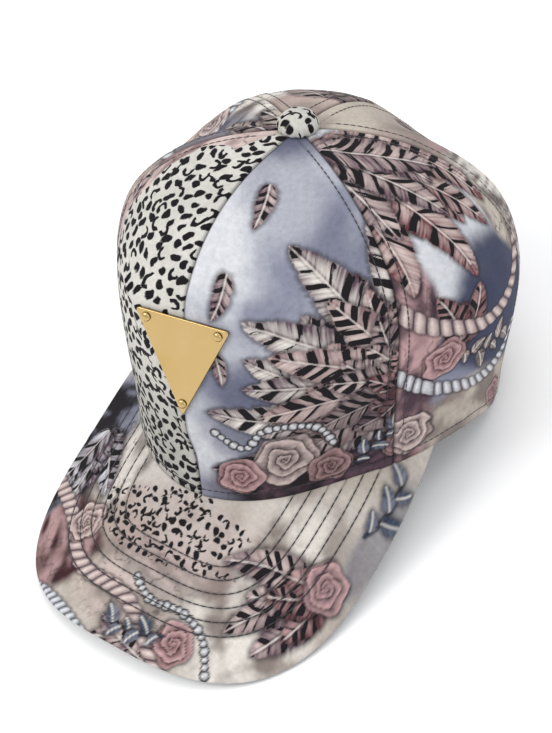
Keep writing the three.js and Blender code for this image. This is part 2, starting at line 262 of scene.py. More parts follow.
CLOUD_SLATE = dye("#8b8ea0")
CLOUD_DEEP = dye("#51556d")
CLOUD_PALE = dye("#dcdde2")
IVORY = dye("#ebe4dc")
SPOTTED_GROUND = dye("#d5d2cb")
SAND = dye("#cdc2b5")
TAUPE = dye("#9a8d86")
DUSKY_PINK = dye("#c8a3a3")
ROSE_CREAM = dye("#dcc8c2")
PLUM = dye("#5d4653")
MAROON = dye("#6e3a40")
STEEL_BLUE = dye("#4d6079")
NAVY = dye("#353b57")
INK = dye("#1b181d")
FAR_INK = 9.0
BLOT_RAGGED = 0.3
CORD_STEP = 0.8
WALK_STEPS = 40


def shaded(deep, pale, light, most=1.1):
    return deep + (pale - deep) * np.clip(light, 0.0, most)[:, None]


def walk(path, spacing):
    # Evenly spaced places on a smooth curve through the path's points, with their headings
    path = np.asarray(path, float)
    fine = np.linspace(0, len(path) - 1, WALK_STEPS * len(path))
    before = np.clip(np.floor(fine).astype(int), 0, len(path) - 2)
    share = (fine - before)[:, None]
    p0 = path[np.maximum(before - 1, 0)]
    p1 = path[before]
    p2 = path[before + 1]
    p3 = path[np.minimum(before + 2, len(path) - 1)]
    straight = 2 * p1 + (p2 - p0) * share
    bent = (2 * p0 - 5 * p1 + 4 * p2 - p3) * share ** 2 + (3 * p1 - p0 - 3 * p2 + p3) * share ** 3
    curve = 0.5 * (straight + bent)
    length = np.concatenate([[0], np.cumsum(np.linalg.norm(np.diff(curve, axis=0), axis=1))])
    marks = np.arange(spacing / 2, length[-1], spacing)
    places = np.stack([np.interp(marks, length, curve[:, k]) for k in (0, 1)], axis=1)
    ahead = np.stack([np.interp(marks + 0.5, length, curve[:, k]) for k in (0, 1)], axis=1)
    return places, np.arctan2(*(ahead - places).T[::-1])


def out_from(place, reach, heading):
    return place[0] + reach * math.cos(heading), place[1] + reach * math.sin(heading)


class FlatCloth:
    # Places on a flat piece in mm, and at each its dye and its distance to black ink
    def __init__(self, x, y, seed, low, high, size):
        self.x = x
        self.y = y
        self.ink = np.full(x.shape, FAR_INK)
        self.colour = self.clouds(seed, low, high, size)

    def clouds(self, seed, low, high, size):
        share = smooth(0.5 + 1.1 * mottle(self.x, self.y, size, seed))
        return low + (high - low) * share[:, None]

    def blot(self, place, size, soft, seed):
        r = np.hypot((self.x - place[0]) / size[0], (self.y - place[1]) / size[1])
        r = r + BLOT_RAGGED * mottle(self.x, self.y, 0.45 * (size[0] + size[1]), seed)
        return 1.0 - smooth((r - 1.0) / soft + 0.5)

    def near(self, place, heading, reach):
        away_x = self.x - place[0]
        away_y = self.y - place[1]
        near = np.flatnonzero(away_x ** 2 + away_y ** 2 < reach ** 2)
        p = away_x[near] * math.cos(heading) + away_y[near] * math.sin(heading)
        q = away_y[near] * math.cos(heading) - away_x[near] * math.sin(heading)
        return near, p, q

    def lay(self, cover, colour, near=slice(None)):
        under = self.colour[near]
        self.colour[near] = under + (colour - under) * cover[:, None]

    def keep_off_ink(self, near, covered):
        self.ink[near] = np.where(covered, FAR_INK, self.ink[near])

    def crumpled(self, cover, light, dark, heading, seed, veins=0.5):
        along = (self.x * math.cos(heading) + self.y * math.sin(heading)) * 0.5
        beside = (self.y * math.cos(heading) - self.x * math.sin(heading)) * 0.5
        folds = 0.6 * value_noise(along, beside * 4.0, 6.0, seed)
        folds = folds + 0.9 * mottle(self.x, self.y, 11.0, seed + 9, 5)
        self.lay(cover, shaded(dark, light, smooth(0.5 + 0.9 * folds)))
        vein = ridge(mottle(self.x * 1.3, self.y, 12.0, seed + 17) + 0.15 * folds, 0.03)
        self.lay(veins * vein * cover, INK)

    def spots(self, pitch, size, seed, slant, ringed, bare=0.0):
        def draw(salt):
            mixed = np.sin(column * 91.7 + row * 47.3 + (seed + salt) * 19.1) * 24634.6345
            return mixed - np.floor(mixed)

        wobble_x = self.x + 0.75 * value_noise(self.x, self.y, 2.3, seed)
        wobble_y = self.y + 0.75 * value_noise(self.x, self.y, 2.3, seed + 5)
        nearest = np.full(self.x.shape, FAR_INK)
        for step_x, step_y in ((i, j) for i in (-1, 0, 1) for j in (-1, 0, 1)):
            row = np.floor(self.y / pitch) + step_y
            column = np.floor(self.x / pitch - 0.5 * (row % 2)) + step_x
            away_x = wobble_x - (column + 0.5 * (row % 2) + 0.5 + 0.45 * (draw(1) - 0.5)) * pitch
            away_y = wobble_y - (row + 0.5 + 0.45 * (draw(2) - 0.5)) * pitch
            turned = slant + 1.8 * (draw(3) - 0.5)
            p = away_x * np.cos(turned) + away_y * np.sin(turned)
            q = away_y * np.cos(turned) - away_x * np.sin(turned)
            long = size * (0.85 + 0.55 * draw(4))
            wide = size * (0.62 + 0.30 * draw(5))
            solid = (np.hypot(p / long, q / wide) - 1.0) * wide
            opening = np.cos(np.arctan2(q, p) - 6.28 * draw(7)) - 0.45
            ring = np.abs(np.hypot(p, q * 1.2) - size * 1.02) - size * 0.42
            ring = np.maximum(ring, opening * size * 1.6)
            nearest = np.minimum(nearest, np.where(draw(6) < ringed, ring, solid))
        self.ink = np.minimum(self.ink, nearest + bare)

    def cord(self, path, wide, pale, deep, seed):
        nearest = np.full(self.x.shape, wide)
        run = np.zeros(self.x.shape)
        aside = np.zeros(self.x.shape)
        for k, (place, heading) in enumerate(zip(*walk(path, CORD_STEP))):
            near, p, q = self.near(place, heading, wide)
            closer = np.hypot(p, q) < nearest[near]
            nearest[near[closer]] = np.hypot(p, q)[closer]
            run[near[closer]] = CORD_STEP * k + p[closer]
            aside[near[closer]] = q[closer]
        near = np.flatnonzero(nearest < wide)
        run = run[near]
        aside = aside[near]
        half = wide / 2
        strand = run / (0.85 * wide) + 0.42 * np.clip(aside / half, -1.2, 1.2)
        fold = strand - np.floor(strand)
        bulge = np.sin(math.pi * fold)
        edge = half * (0.84 + 0.16 * bulge) - np.abs(aside)
        light = (0.12 + 0.80 * bulge) * (1.0 - 0.5 * (aside / half) ** 2)
        light = light + 0.3 * ridge(fold - 0.4, 0.14)
        light = light + 0.12 * value_noise(run + 2.2 * aside, strand * 9.0, 0.8, seed)
        self.lay(0.7 * smooth((edge + 1.7) / 1.9), INK, near)
        cover = smooth((edge + 0.1) / 0.4)
        grooved = (1.0 - 0.8 * ridge(bulge, 0.22))[:, None]
        self.lay(cover, shaded(deep, pale, light) * grooved, near)
        self.keep_off_ink(near, cover > 0.3)

    def feather(self, root, tip, wide, bend, pale, deep, seed, bars=8.5, barred=1.0):
        span = np.subtract(tip, root)
        length = float(np.hypot(*span))
        near, p, q = self.near(root, math.atan2(span[1], span[0]), length * 1.15 + wide)
        share = np.clip(p / length, 0.0, 1.0)
        q = q - bend * np.sin(math.pi * share) * length * 0.12
        half = wide * np.sin(math.pi * np.clip(share, 0.02, 1.0) ** 0.62) ** 0.6 + 0.01
        barb = p - 0.95 * np.abs(q) * (1.0 - 0.25 * np.abs(q) / wide)
        vane = np.where(q > 0, 1.0, 7.0)
        torn = ridge(value_noise(barb, vane * 31.0, 4.2, seed), 0.10)
        torn = torn + 0.35 * value_noise(barb, vane * 13.0, 0.9, seed + 1)
        edge = (1.0 - np.abs(q) / half - 0.16 * torn) * half
        cover = smooth((edge + 0.2) / 0.7) * ((p > 0) & (p < length))
        ends = smooth((p + 2.5) / 3) * smooth((length + 2.5 - p) / 3)
        self.lay(0.6 * smooth((edge + 2.6) / 2.8) * ends, INK, near)
        strand = value_noise(barb, vane * 9.0 + np.abs(q) * 0.12, 0.85, seed + 2)
        light = 0.62 + 0.30 * strand + 0.45 * mottle(barb, q, 9.0, seed + 3, 3)
        light = light - 0.42 * (np.abs(q) / half) ** 2 + np.where(q > 0, 0.12, -0.14)
        light = light - 0.45 * ridge(np.abs(q) - 0.7, 0.7)
        self.lay(cover, shaded(deep, pale, light, 1.15), near)
        self.lay(0.9 * cover * ridge(q, 0.45) * (share < 0.93), IVORY, near)
        phase = (barb + 0.9 * strand + 3.2 * mottle(barb, q, 9.0, seed + 4, 3)) / bars
        swell = 0.17 + 0.20 * value_noise(barb, vane * 17.0, bars, seed + 5)
        bar = (np.abs(phase - np.round(phase)) - swell * barred) * bars + 0.5 * strand
        bar = np.maximum(bar, 0.45 - np.abs(q))
        self.lay(0.5 * smooth((1.6 - bar) / 2.6) * cover, PLUM * 0.5, near)
        self.ink[near] = np.where(cover > 0.5, np.maximum(bar, 0.5 - edge), self.ink[near])

    def plume(self, root, reach, headings, wide, pale, deep, seed, bars=8.5, barred=1.0):
        for k, heading in enumerate(np.radians(headings)):
            tip = out_from(root, reach * (0.86 + 0.14 * math.sin(2.7 * k + seed)), heading)
            bend = 0.5 if k % 2 else -0.3
            self.feather(root, tip, wide, bend, pale, deep, seed + 11 * k, bars, barred)

    def sprig(self, path, leaf, pale, deep, seed):
        self.cord(path, 1.5, deep, deep * 0.4, seed)
        for k, (place, heading) in enumerate(zip(*walk(path, 0.5 * leaf))):
            turned = heading + (0.72 if k % 2 else -0.72) + 0.2 * math.sin(3.1 * k + seed)
            own = leaf * (0.85 + 0.2 * math.sin(1.7 * k + seed))
            tip = out_from(place, own, turned)
            self.feather(place, tip, 0.33 * own, 0.5, pale, deep, seed + 3 * k, 60.0, 0.0)

    def rose(self, place, size, pale, deep, seed):
        near, p, q = self.near(place, 0.7 * seed, size * 1.6)
        angle = np.arctan2(q, p)
        r = np.hypot(p, q) / size
        r = r * (1.0 + 0.07 * np.cos(angle * 5.0 + seed) + 0.10 * mottle(p, q, size * 0.5, seed, 3))
        self.lay(0.85 * smooth((1.22 - r) / 0.24), INK, near)
        petal = 4.2 * np.sqrt(np.clip(r, 0, 1.2)) - angle / (2 * math.pi)
        petal = petal + 0.16 * np.cos(angle * 3.0 + 5.0 * r)
        fold = petal - np.floor(petal)
        light = 0.16 + 0.95 * fold ** 0.8 - 0.30 * (1 - r) + 0.18 * value_noise(p, q, 1.4, seed + 3)
        creased = (1.0 - 0.85 * ridge(fold, 0.07) - 0.5 * ridge(fold - 1.0, 0.05))[:, None]
        cover = smooth((1.04 - r) / 0.06)
        self.lay(cover, shaded(deep * 0.5, pale, light) * creased, near)
        self.keep_off_ink(near, cover > 0.3)

    def pearl(self, place, size, pale):
        near, p, q = self.near(place, 0.0, size * 1.9)
        r = np.hypot(p, q) / size
        self.lay(smooth((1.45 - r) / 0.3), INK, near)
        self.keep_off_ink(near, r < 1.4)
        lit = 0.20 + 0.70 * (1 - np.clip(r, 0, 1) ** 2)
        lit = lit + 0.30 * ridge(np.hypot(p - 0.3 * size, q + 0.5 * size) / size, 0.4)
        self.lay(smooth((1.02 - r) / 0.12), pale * lit[:, None], near)
        glint = ridge(np.hypot(p + 0.32 * size, q - 0.36 * size) / size, 0.24)
        self.lay(glint, IVORY * 1.2, near)

    def beads(self, path, size, pale):
        for k, place in enumerate(walk(path, size * 2.05)[0]):
            self.pearl(place, size * (1.0 if k % 3 else 1.25), pale)


def front_left_print(x, y):
    cloth = FlatCloth(x, y, 31, CLOUD_SLATE, CLOUD_PALE, 34.0)
    cloth.lay(0.8 * smooth((y - 156.0 + 12.0 * mottle(x, y, 20.0, 5)) / 34.0), CLOUD_DEEP)
    cloth.lay(0.35 * cloth.blot((26.0, 128.0), (22.0, 18.0), 1.2, 8), CLOUD_DEEP)
    cloth.lay(0.42 * cloth.blot((-2.0, 148.0), (16.0, 22.0), 1.0, 84), CLOUD_PALE)
    cloth.lay(0.7 * cloth.blot((-22.0, 50.0), (18.0, 26.0), 0.9, 81), CLOUD_DEEP)
    cloth.crumpled(cloth.blot((22.0, 10.0), (58.0, 20.0), 0.5, 14), PLUM, INK, 0.3, 16, 0.7)
    # Reach, first and last heading, how many, width, pale and deep dye, seed and bar spacing
    for reach, first, last, count, wide, pale, deep, seed, bars in (
        (100.0, 104, 196, 10, 13.5, IVORY, PLUM, 40, 9.5),
        (76.0, 100, 203, 9, 12.5, ROSE_CREAM, DUSKY_PINK * 0.5, 60, 8.0),
        (52.0, 98, 208, 8, 11.5, ROSE_CREAM, PLUM * 0.8, 80, 6.5),
        (30.0, 96, 214, 7, 9.0, DUSKY_PINK, MAROON * 0.6, 100, 5.5),
    ):
        headings = np.linspace(first, last, count)
        cloth.plume((56.0, 46.0), reach, headings, wide, pale, deep, seed, bars)
    for root, tip, wide, seed in (
        ((-9.0, 158.0), (-15.0, 136.0), 4.4, 90),
        ((-26.0, 118.0), (-34.0, 98.0), 4.4, 93),
        ((-34.0, 84.0), (-31.0, 68.0), 3.8, 97),
    ):
        cloth.feather(root, tip, wide, 0.4, ROSE_CREAM, PLUM, seed, 5.0)
    # Painted shade: a soft plum darkening over the lower part of the plumes, towards the rim.
    cloth.lay(0.5 * cloth.blot((34.0, 34.0), (30.0, 17.0), 0.9, 83), PLUM * 0.4)
    cloth.rose((-7.0, 22.0), 14.0, ROSE_CREAM * 0.9, PLUM * 0.7, 3)
    cloth.rose((-27.0, 15.0), 10.5, DUSKY_PINK, MAROON, 6)
    cloth.rose((12.0, 11.0), 9.5, DUSKY_PINK * 0.7, MAROON * 0.5, 9)
    cloth.rose((44.0, 12.0), 8.0, DUSKY_PINK * 0.7, MAROON * 0.5, 8)
    cloth.sprig(((22.0, 8.0), (32.0, 16.0), (46.0, 26.0)), 9.0, CLOUD_SLATE, STEEL_BLUE * 0.5, 131)
    bead_path = ((-38.0, 42.0), (-24.0, 32.0), (-14.0, 42.0), (6.0, 38.0), (14.0, 24.0))
    cloth.beads(bead_path, 1.7, CLOUD_PALE)
    return cloth


def side_left_print(x, y):
    cloth = FlatCloth(x, y, 61, CLOUD_SLATE, CLOUD_PALE, 36.0)
    cloth.lay(0.95 * cloth.blot((18.0, 68.0), (40.0, 34.0), 0.35, 12), NAVY)
    stone = cloth.clouds(26, TAUPE * 0.75, SAND * 0.95, 15.0)
    cloth.lay(cloth.blot((8.0, 8.0), (46.0, 30.0), 0.3, 22), stone)
    # Painted shade along the soft crease low on the side panel, darker towards the rim.
    cloth.lay(0.4 * ridge(x + 27.0, 3.0) * smooth((46.0 - y) / 30.0), PLUM)
    light_patch = 0.95 * cloth.blot((38.0, 116.0), (15.0, 26.0), 0.3, 24)
    cloth.crumpled(light_patch, SAND, TAUPE * 0.7, 1.4, 27, 0.8)
    pink_strip = cloth.blot((-38.0, 60.0), (14.0, 76.0), 0.3, 34)
    cloth.crumpled(pink_strip, DUSKY_PINK, PLUM * 0.7, 1.4, 36)
    for root, reach, headings, wide, pale, deep, seed, bars, barred in (
        ((-14.0, 182.0), 96.0, np.linspace(238, 304, 8), 13.0, ROSE_CREAM, MAROON, 72, 9.5, 0.85),
        ((-12.0, 180.0), 66.0, np.linspace(232, 306, 7), 11.0, ROSE_CREAM * 0.9, PLUM, 78, 7.5, 0.85),
        ((-14.0, 54.0), 34.0, (72, 92, 112), 8.0, DUSKY_PINK, MAROON * 0.6, 84, 6.5, 1.0),
    ):
        cloth.plume(root, reach, headings, wide, pale, deep, seed, bars, barred)
    swag = ((-52.0, 96.0), (-30.0, 72.0), (0.0, 62.0), (28.0, 74.0), (52.0, 98.0))
    cloth.cord(swag, 8.5, ROSE_CREAM, PLUM, 141)
    swag = ((-52.0, 58.0), (-26.0, 34.0), (4.0, 26.0), (30.0, 38.0), (54.0, 60.0))
    cloth.cord(swag, 7.0, CLOUD_PALE, PLUM * 0.7, 142)
    cloth.sprig(((-14.0, 50.0), (4.0, 44.0), (24.0, 52.0)), 12.0, ROSE_CREAM, TAUPE * 0.4, 143)
    cloth.rose((-22.0, 50.0), 10.5, DUSKY_PINK, MAROON, 4)
    cloth.rose((-34.0, 12.0), 10.0, ROSE_CREAM, PLUM, 8)
    cloth.rose((28.0, 12.0), 9.0, DUSKY_PINK, MAROON, 2)
    return cloth


def pale_print(x, y, seed, spotted, mirror=1, shift=0.0):
    x = x * mirror
    y = y + shift
    cloth = FlatCloth(x, y, seed, TAUPE, SAND, 34.0)
    cloth.lay(0.6 * smooth(0.25 + 1.6 * mottle(x, y, 30.0, seed + 3)), DUSKY_PINK)
    patch = cloth.blot((-14.0, 44.0), (26.0, 40.0), 0.4, seed + 1)
    cloth.crumpled(patch, ROSE_CREAM, PLUM, 0.9, seed + 2)
    patch = cloth.blot((18.0, 128.0), (30.0, 30.0), 0.4, seed + 4)
    cloth.crumpled(patch, IVORY, TAUPE * 0.6, 0.3, seed + 6, 0.8)
    cloth.lay(0.7 * cloth.blot((-12.0, 118.0), (20.0, 26.0), 0.6, seed + 5), CLOUD_DEEP)
    bare = 6.0 * (1.0 - cloth.blot(spotted, (22.0, 28.0), 0.4, seed + 9))
    cloth.spots(5.6, 1.9, seed + 8, 0.3, 0.35, bare)
    headings = (78, 96, 114, 132, 150)
    cloth.plume((30.0, 4.0), 52.0, headings, 9.5, ROSE_CREAM, TAUPE * 0.6, seed + 10, 8.0, 0.8)
    cloth.plume((-8.0, 168.0), 46.0, (236, 256, 276, 296), 8.5, SAND, PLUM, seed + 11, 7.5, 0.8)
    swag = ((-54.0, 50.0), (-26.0, 30.0), (4.0, 36.0), (30.0, 56.0), (54.0, 52.0))
    cloth.cord(swag, 8.0, ROSE_CREAM, PLUM, seed + 12)
    swag = ((-54.0, 122.0), (-20.0, 104.0), (12.0, 114.0), (50.0, 96.0))
    cloth.cord(swag, 7.0, CLOUD_PALE, PLUM * 0.7, seed + 13)
    stem = ((8.0, 104.0), (22.0, 92.0), (26.0, 74.0))
    cloth.sprig(stem, 12.0, CLOUD_SLATE, STEEL_BLUE * 0.5, seed + 14)
    cloth.rose((-2.0, 22.0), 11.0, DUSKY_PINK, MAROON, seed % 7)
    cloth.rose((10.0, 104.0), 10.0, ROSE_CREAM, PLUM, seed % 5)
    cloth.beads(((-38.0, 66.0), (-16.0, 78.0), (4.0, 72.0), (30.0, 84.0)), 2.0, CLOUD_PALE)
    return cloth


def front_right_print(x, y):
    cloth = FlatCloth(x, y, 91, SPOTTED_GROUND * 0.94, SPOTTED_GROUND * 1.06, 22.0)
    # Painted shade: the spotted cloth darkens towards the rim, below the badge, where the crown turns
    # down from the light.
    cloth.colour *= (1.0 - 0.24 * smooth((86.0 - y) / 56.0))[:, None]
    cloth.spots(5.9, 2.25, 17, 0.55, 0.34)
    back_seam = -43.0 * np.sqrt(np.clip(1.0 - (y / 172.0) ** 2.6, 0.0, 1.0))
    border = smooth((0.62 * back_seam + 3.0 * mottle(x, y, 16.0, 93) - x) / 1.6)
    cloth.crumpled(border, ROSE_CREAM, DUSKY_PINK * 0.5, 1.4, 92, 0.6)
    cloth.keep_off_ink(slice(None), border > 0.5)
    for k, root in enumerate(((-31.0, 40.0), (-33.0, 66.0), (-31.0, 92.0), (-26.0, 118.0))):
        tip = (root[0] - 3.0, root[1] + 24.0)
        cloth.feather(root, tip, 4.6, 0.3, ROSE_CREAM, PLUM, 95 + k, 5.0, 0.7)
    return cloth


PRINTS = {
    "front_left_panel": front_left_print,
    "side_left_panel": side_left_print,
    "back_left_panel": lambda x, y: pale_print(x, y, 120, (18.0, 60.0), -1, 30.0),
    "back_right_panel": lambda x, y: pale_print(x, y, 150, (-18.0, 96.0), 1, 0.0),
    "side_right_panel": lambda x, y: pale_print(x, y, 180, (16.0, 40.0), -1, -16.0),
    "front_right_panel": front_right_print,
}


# Cloth finishes. The weave is twill, so its ribs run up across the cloth at an angle, and
# the ink only tints the threads. The inside is a plain dark stiffener.
def new_tree(name, kind, inputs, outputs):
    # A node group. A row of inputs gives each its label, kind and value, or no value.
    tree = bpy.data.node_groups.new(name, kind)
    for label, socket_kind, *given_value in inputs:
        socket = tree.interface.new_socket(
            label, in_out="INPUT", socket_type="NodeSocket" + socket_kind)
        for value in given_value:
            socket.default_value = value
    for label, socket_kind in outputs:
        tree.interface.new_socket(label, in_out="OUTPUT", socket_type="NodeSocket" + socket_kind)
    return tree, tree.nodes.new("NodeGroupInput"), tree.nodes.new("NodeGroupOutput")


def feed(tree, socket, value):
    if isinstance(value, bpy.types.NodeSocket):
        tree.links.new(value, socket)
    else:
        socket.default_value = value


def math_node(tree, operation, *values):
    node = tree.nodes.new("ShaderNodeMath")
    node.operation = operation
    for socket, value in zip(node.inputs, values):
        feed(tree, socket, value)
    return node.outputs[0]


def noise_node(tree, place, scale, detail=2.0):
    node = tree.nodes.new("ShaderNodeTexNoise")
    node.inputs["Scale"].default_value = scale
    node.inputs["Detail"].default_value = detail
    tree.links.new(place, node.inputs["Vector"])
    return node.outputs[0]


def mix_node(tree, share, first, second, way="MIX"):
    node = tree.nodes.new("ShaderNodeMix")
    node.data_type = "RGBA"
    node.blend_type = way
    feed(tree, node.inputs[0], share)
    feed(tree, node.inputs["A"], first)
    feed(tree, node.inputs["B"], second)
    return node.outputs["Result"]


def solid_colour(code):
    return (*dye(code), 1.0)


def rib_wave(run, pitch):
    turns = math_node(twill, "DIVIDE", run, pitch)
    return math_node(twill, "SINE", math_node(twill, "MULTIPLY", turns, 2 * math.pi))


# Twill ribs and slubs on the flat cloth, in metres: a height for bump and a fleck for tint
twill, given, made = new_tree(
    "twill_weave", "ShaderNodeTree",
    (("Flat", "Vector"), ("Rib Pitch", "Float", 0.0006), ("Slub", "Float", 0.4)),
    (("Height", "Float"), ("Fleck", "Float")),
)
given, made = given.outputs, made.inputs
split = twill.nodes.new("ShaderNodeSeparateXYZ")
twill.links.new(given["Flat"], split.inputs[0])
leaning = math_node(twill, "MULTIPLY", split.outputs[1], 0.62)
diagonal = math_node(twill, "ADD", split.outputs[0], leaning)
ribs, yarns = (rib_wave(run, given["Rib Pitch"]) for run in (diagonal, split.outputs[1]))
slub = math_node(twill, "SUBTRACT", noise_node(twill, given["Flat"], 900.0), 0.5)
slubbed = math_node(twill, "MULTIPLY", slub, given["Slub"])
ribbed = math_node(twill, "MULTIPLY_ADD", ribs, 0.35, math_node(twill, "MULTIPLY", yarns, 0.12))
fleck = math_node(twill, "MULTIPLY_ADD", slubbed, 1.0, math_node(twill, "MULTIPLY", ribs, 0.05))
twill.links.new(math_node(twill, "ADD", ribbed, slubbed), made["Height"])
twill.links.new(fleck, made["Fleck"])

# Dye in the cloth: the painted colour, the black ink over it, and the tint of the threads
dyeing, given, made = new_tree(
    "dyed_print", "ShaderNodeTree",
    (
        ("Print", "Color"), ("Ink Distance", "Float", FAR_INK), ("Flat", "Vector"),
        ("Fleck", "Float", 0.0), ("Fade", "Float", 0.08),
    ),
    (("Colour", "Color"),),
)
given, made = given.outputs, made.inputs
bleed = math_node(dyeing, "SUBTRACT", noise_node(dyeing, given["Flat"], 1400.0), 0.5)
ink_share = dyeing.nodes.new("ShaderNodeMapRange")
ink_share.interpolation_type = "SMOOTHSTEP"
ink_share.inputs["From Min"].default_value = 0.28
ink_share.inputs["From Max"].default_value = -0.22
ink_edge = math_node(dyeing, "MULTIPLY_ADD", bleed, 0.7, given["Ink Distance"])
dyeing.links.new(ink_edge, ink_share.inputs["Value"])
inked = mix_node(dyeing, ink_share.outputs[0], given["Print"], (0.006, 0.005, 0.007, 1.0))
patchy = math_node(dyeing, "SUBTRACT", noise_node(dyeing, given["Flat"], 420.0, 5.0), 0.5)
tint = math_node(dyeing, "MULTIPLY_ADD", patchy, 0.30, 0.74)
tint = math_node(dyeing, "MULTIPLY_ADD", given["Fleck"], 0.35, tint)
grey = dyeing.nodes.new("ShaderNodeCombineColor")
for channel in range(3):
    dyeing.links.new(tint, grey.inputs[channel])
tinted = mix_node(dyeing, 1.0, inked, grey.outputs[0], "MULTIPLY")
faded = mix_node(dyeing, given["Fade"], tinted, (0.62, 0.58, 0.56, 1.0))
dyeing.links.new(faded, made["Colour"])


def new_finish(name, **values):
    finish = bpy.data.materials.new(name)
    finish.use_nodes = True
    shader = finish.node_tree.nodes["Principled BSDF"]
    for label, value in values.items():
        shader.inputs[label.replace("_", " ")].default_value = value
    return finish, finish.node_tree, shader


def placed(tree, group, **values):
    node = tree.nodes.new("ShaderNodeGroup")
    node.node_tree = group
    for label, value in values.items():
        feed(tree, node.inputs[label.replace("_", " ")], value)
    return node.outputs


def bumped(tree, shader, height, strength, distance):
    bump = tree.nodes.new("ShaderNodeBump")
    bump.inputs["Strength"].default_value = strength
    bump.inputs["Distance"].default_value = distance
    tree.links.new(height, bump.inputs["Height"])
    tree.links.new(bump.outputs[0], shader.inputs["Normal"])


def painted_value(tree, name):
    node = tree.nodes.new("ShaderNodeAttribute")
    node.attribute_name = name
    return node.outputs


def printed_cloth(name, fade):
    finish, tree, shader = new_finish(
        name, Roughness=0.8, Sheen_Weight=0.015, Sheen_Roughness=0.5, Specular_IOR_Level=0.06)
    flat = tree.nodes.new("ShaderNodeUVMap")
    flat.uv_map = "flat"
    flat = flat.outputs[0]
    colour = painted_value(tree, "print")["Color"]
    edge = painted_value(tree, "ink")["Fac"]
    weave = placed(tree, twill, Flat=flat)
    dyed = placed(
        tree, dyeing, Print=colour, Ink_Distance=edge, Flat=flat, Fleck=weave["Fleck"], Fade=fade)
    tree.links.new(dyed["Colour"], shader.inputs["Base Color"])
    bumped(tree, shader, weave["Height"], 0.35, 0.00012)
    return finish


def on_object(tree):
    return tree.nodes.new("ShaderNodeTexCoord").outputs["Object"]


def plain_cloth(name, dark, light, rib_pitch):
    finish, tree, shader = new_finish(name, Roughness=0.85, Sheen_Weight=0.15)
    weave = placed(tree, twill, Flat=on_object(tree), Rib_Pitch=rib_pitch)
    share = math_node(tree, "MULTIPLY_ADD", weave["Fleck"], 1.6, 0.5)
    cotton = mix_node(tree, share, solid_colour(dark), solid_colour(light))
    tree.links.new(cotton, shader.inputs["Base Color"])
    bumped(tree, shader, weave["Height"], 0.4, 0.00015)
    return finish


crown_cloth = printed_cloth("collage_twill", 0.012)
spotted_cloth = printed_cloth("spotted_twill", 0.008)
stiffener = plain_cloth("stiffener_cloth", "#26252a", "#3a393f", 0.0009)

# Each panel is cut between two seams. Its edges turn in at the seam and at the rim, and
# the two back panels are cut away round the arch over the strap.
MM = 0.001
REST_LEAN = math.radians(10.191834)
REST_SHIFT = (-2.2299, 26.4902, 15.1454)
CLOTH = 2.0
ARCH_HALF = math.radians(24)
ARCH_HEIGHT = 46.0
TOP_CLIMB = math.radians(89.2)
LADDER_STEPS = 600
INNER_ROWS = 24
INNER_CROWDING = 1.3
# The crown's run in mm, for spacing the columns: a degree of its side, half the arch's
# edge, and a radian of its back
SIDE_DEGREE = 1.62
ARCH_RUN = 60
BACK_RADIAN = 93
SEAM_SHADE = 0.55
THREAD_SHADE = 0.2
# How far each row of the hem is sunk in and dropped, in mm
HEM_ROWS = ((1.7, 0.01), (1.0, 0.02), (0.3, 0.01))
PANELS = (
    ("front_left_panel", 0, 62, 0.55), ("side_left_panel", 62, 122, 0.55),
    ("back_left_panel", 122, 180, 0.9), ("back_right_panel", 180, 240, 0.9),
    ("side_right_panel", 240, 305, 0.8), ("front_right_panel", 305, 360, 0.5),
)


def at_rest(points):
    x, y, z = np.moveaxis(np.asarray(points, float), -1, 0)
    lean_cos, lean_sin = math.cos(REST_LEAN), math.sin(REST_LEAN)
    leaned = np.stack([x, y * lean_cos + z * lean_sin, z * lean_cos - y * lean_sin], axis=-1)
    return (leaned + np.array(REST_SHIFT)) * MM


def bridge(lower, upper):
    # Triangles that close the strip between two rows of points of unlike count
    faces = []
    i = j = 0
    while i < len(lower) - 1 or j < len(upper) - 1:
        step_low = (i + 1) / max(len(lower) - 1, 1)
        step_high = (j + 1) / max(len(upper) - 1, 1)
        if j == len(upper) - 1 or (i < len(lower) - 1 and step_low <= step_high):
            faces.append((lower[i], lower[i + 1], upper[j]))
            i += 1
        else:
            faces.append((lower[i], upper[j + 1], upper[j]))
            j += 1
    return faces


def turned_over(faces):
    return [face[::-1] for face in faces]


def numbered(points, first=0):
    return first + np.arange(points[..., 0].size).reshape(points.shape[:2])


def strip_quads(low, high):
    return np.stack([low[:-1], low[1:], high[1:], high[:-1]], axis=-1)


def grid_quads(index):
    return strip_quads(index[:, :-1], index[:, 1:]).reshape(-1, 4)


def set_values(mesh, name, kind, values, field="value"):
    attribute = mesh.attributes.new(name, kind, "POINT")
    attribute.data.foreach_set(field, np.asarray(values, np.float32).ravel())


def shade_smooth(mesh):
    mesh.polygons.foreach_set("use_smooth", np.ones(len(mesh.polygons), bool))


def in_scene(name, data):
    piece = bpy.data.objects.new(name, data)
    bpy.context.scene.collection.objects.link(piece)
    return piece


def sewn_mesh(name, points, quads, triangles=(), inside_from=None):
    quads = np.asarray(quads, np.int64).reshape(-1, 4)
    triangles = np.asarray(triangles, np.int64).reshape(-1, 3)
    corners = np.concatenate([quads.ravel(), triangles.ravel()])
    totals = np.concatenate([np.full(len(quads), 4), np.full(len(triangles), 3)])
    starts = np.concatenate([[0], np.cumsum(totals)[:-1]])
    mesh = bpy.data.meshes.new(name)
    mesh.vertices.add(len(points))
    mesh.vertices.foreach_set("co", at_rest(points).astype(np.float32).ravel())
    mesh.loops.add(len(corners))
    mesh.loops.foreach_set("vertex_index", corners.astype(np.int32))
    mesh.polygons.add(len(totals))
    mesh.polygons.foreach_set("loop_start", starts.astype(np.int32))
    mesh.update(calc_edges=True)
    mesh.validate()
    shade_smooth(mesh)
    if inside_from is not None:
        first = np.array([polygon.vertices[0] for polygon in mesh.polygons])
        mesh.polygons.foreach_set("material_index", (first >= inside_from).astype(np.int32))
    return in_scene(name, mesh)


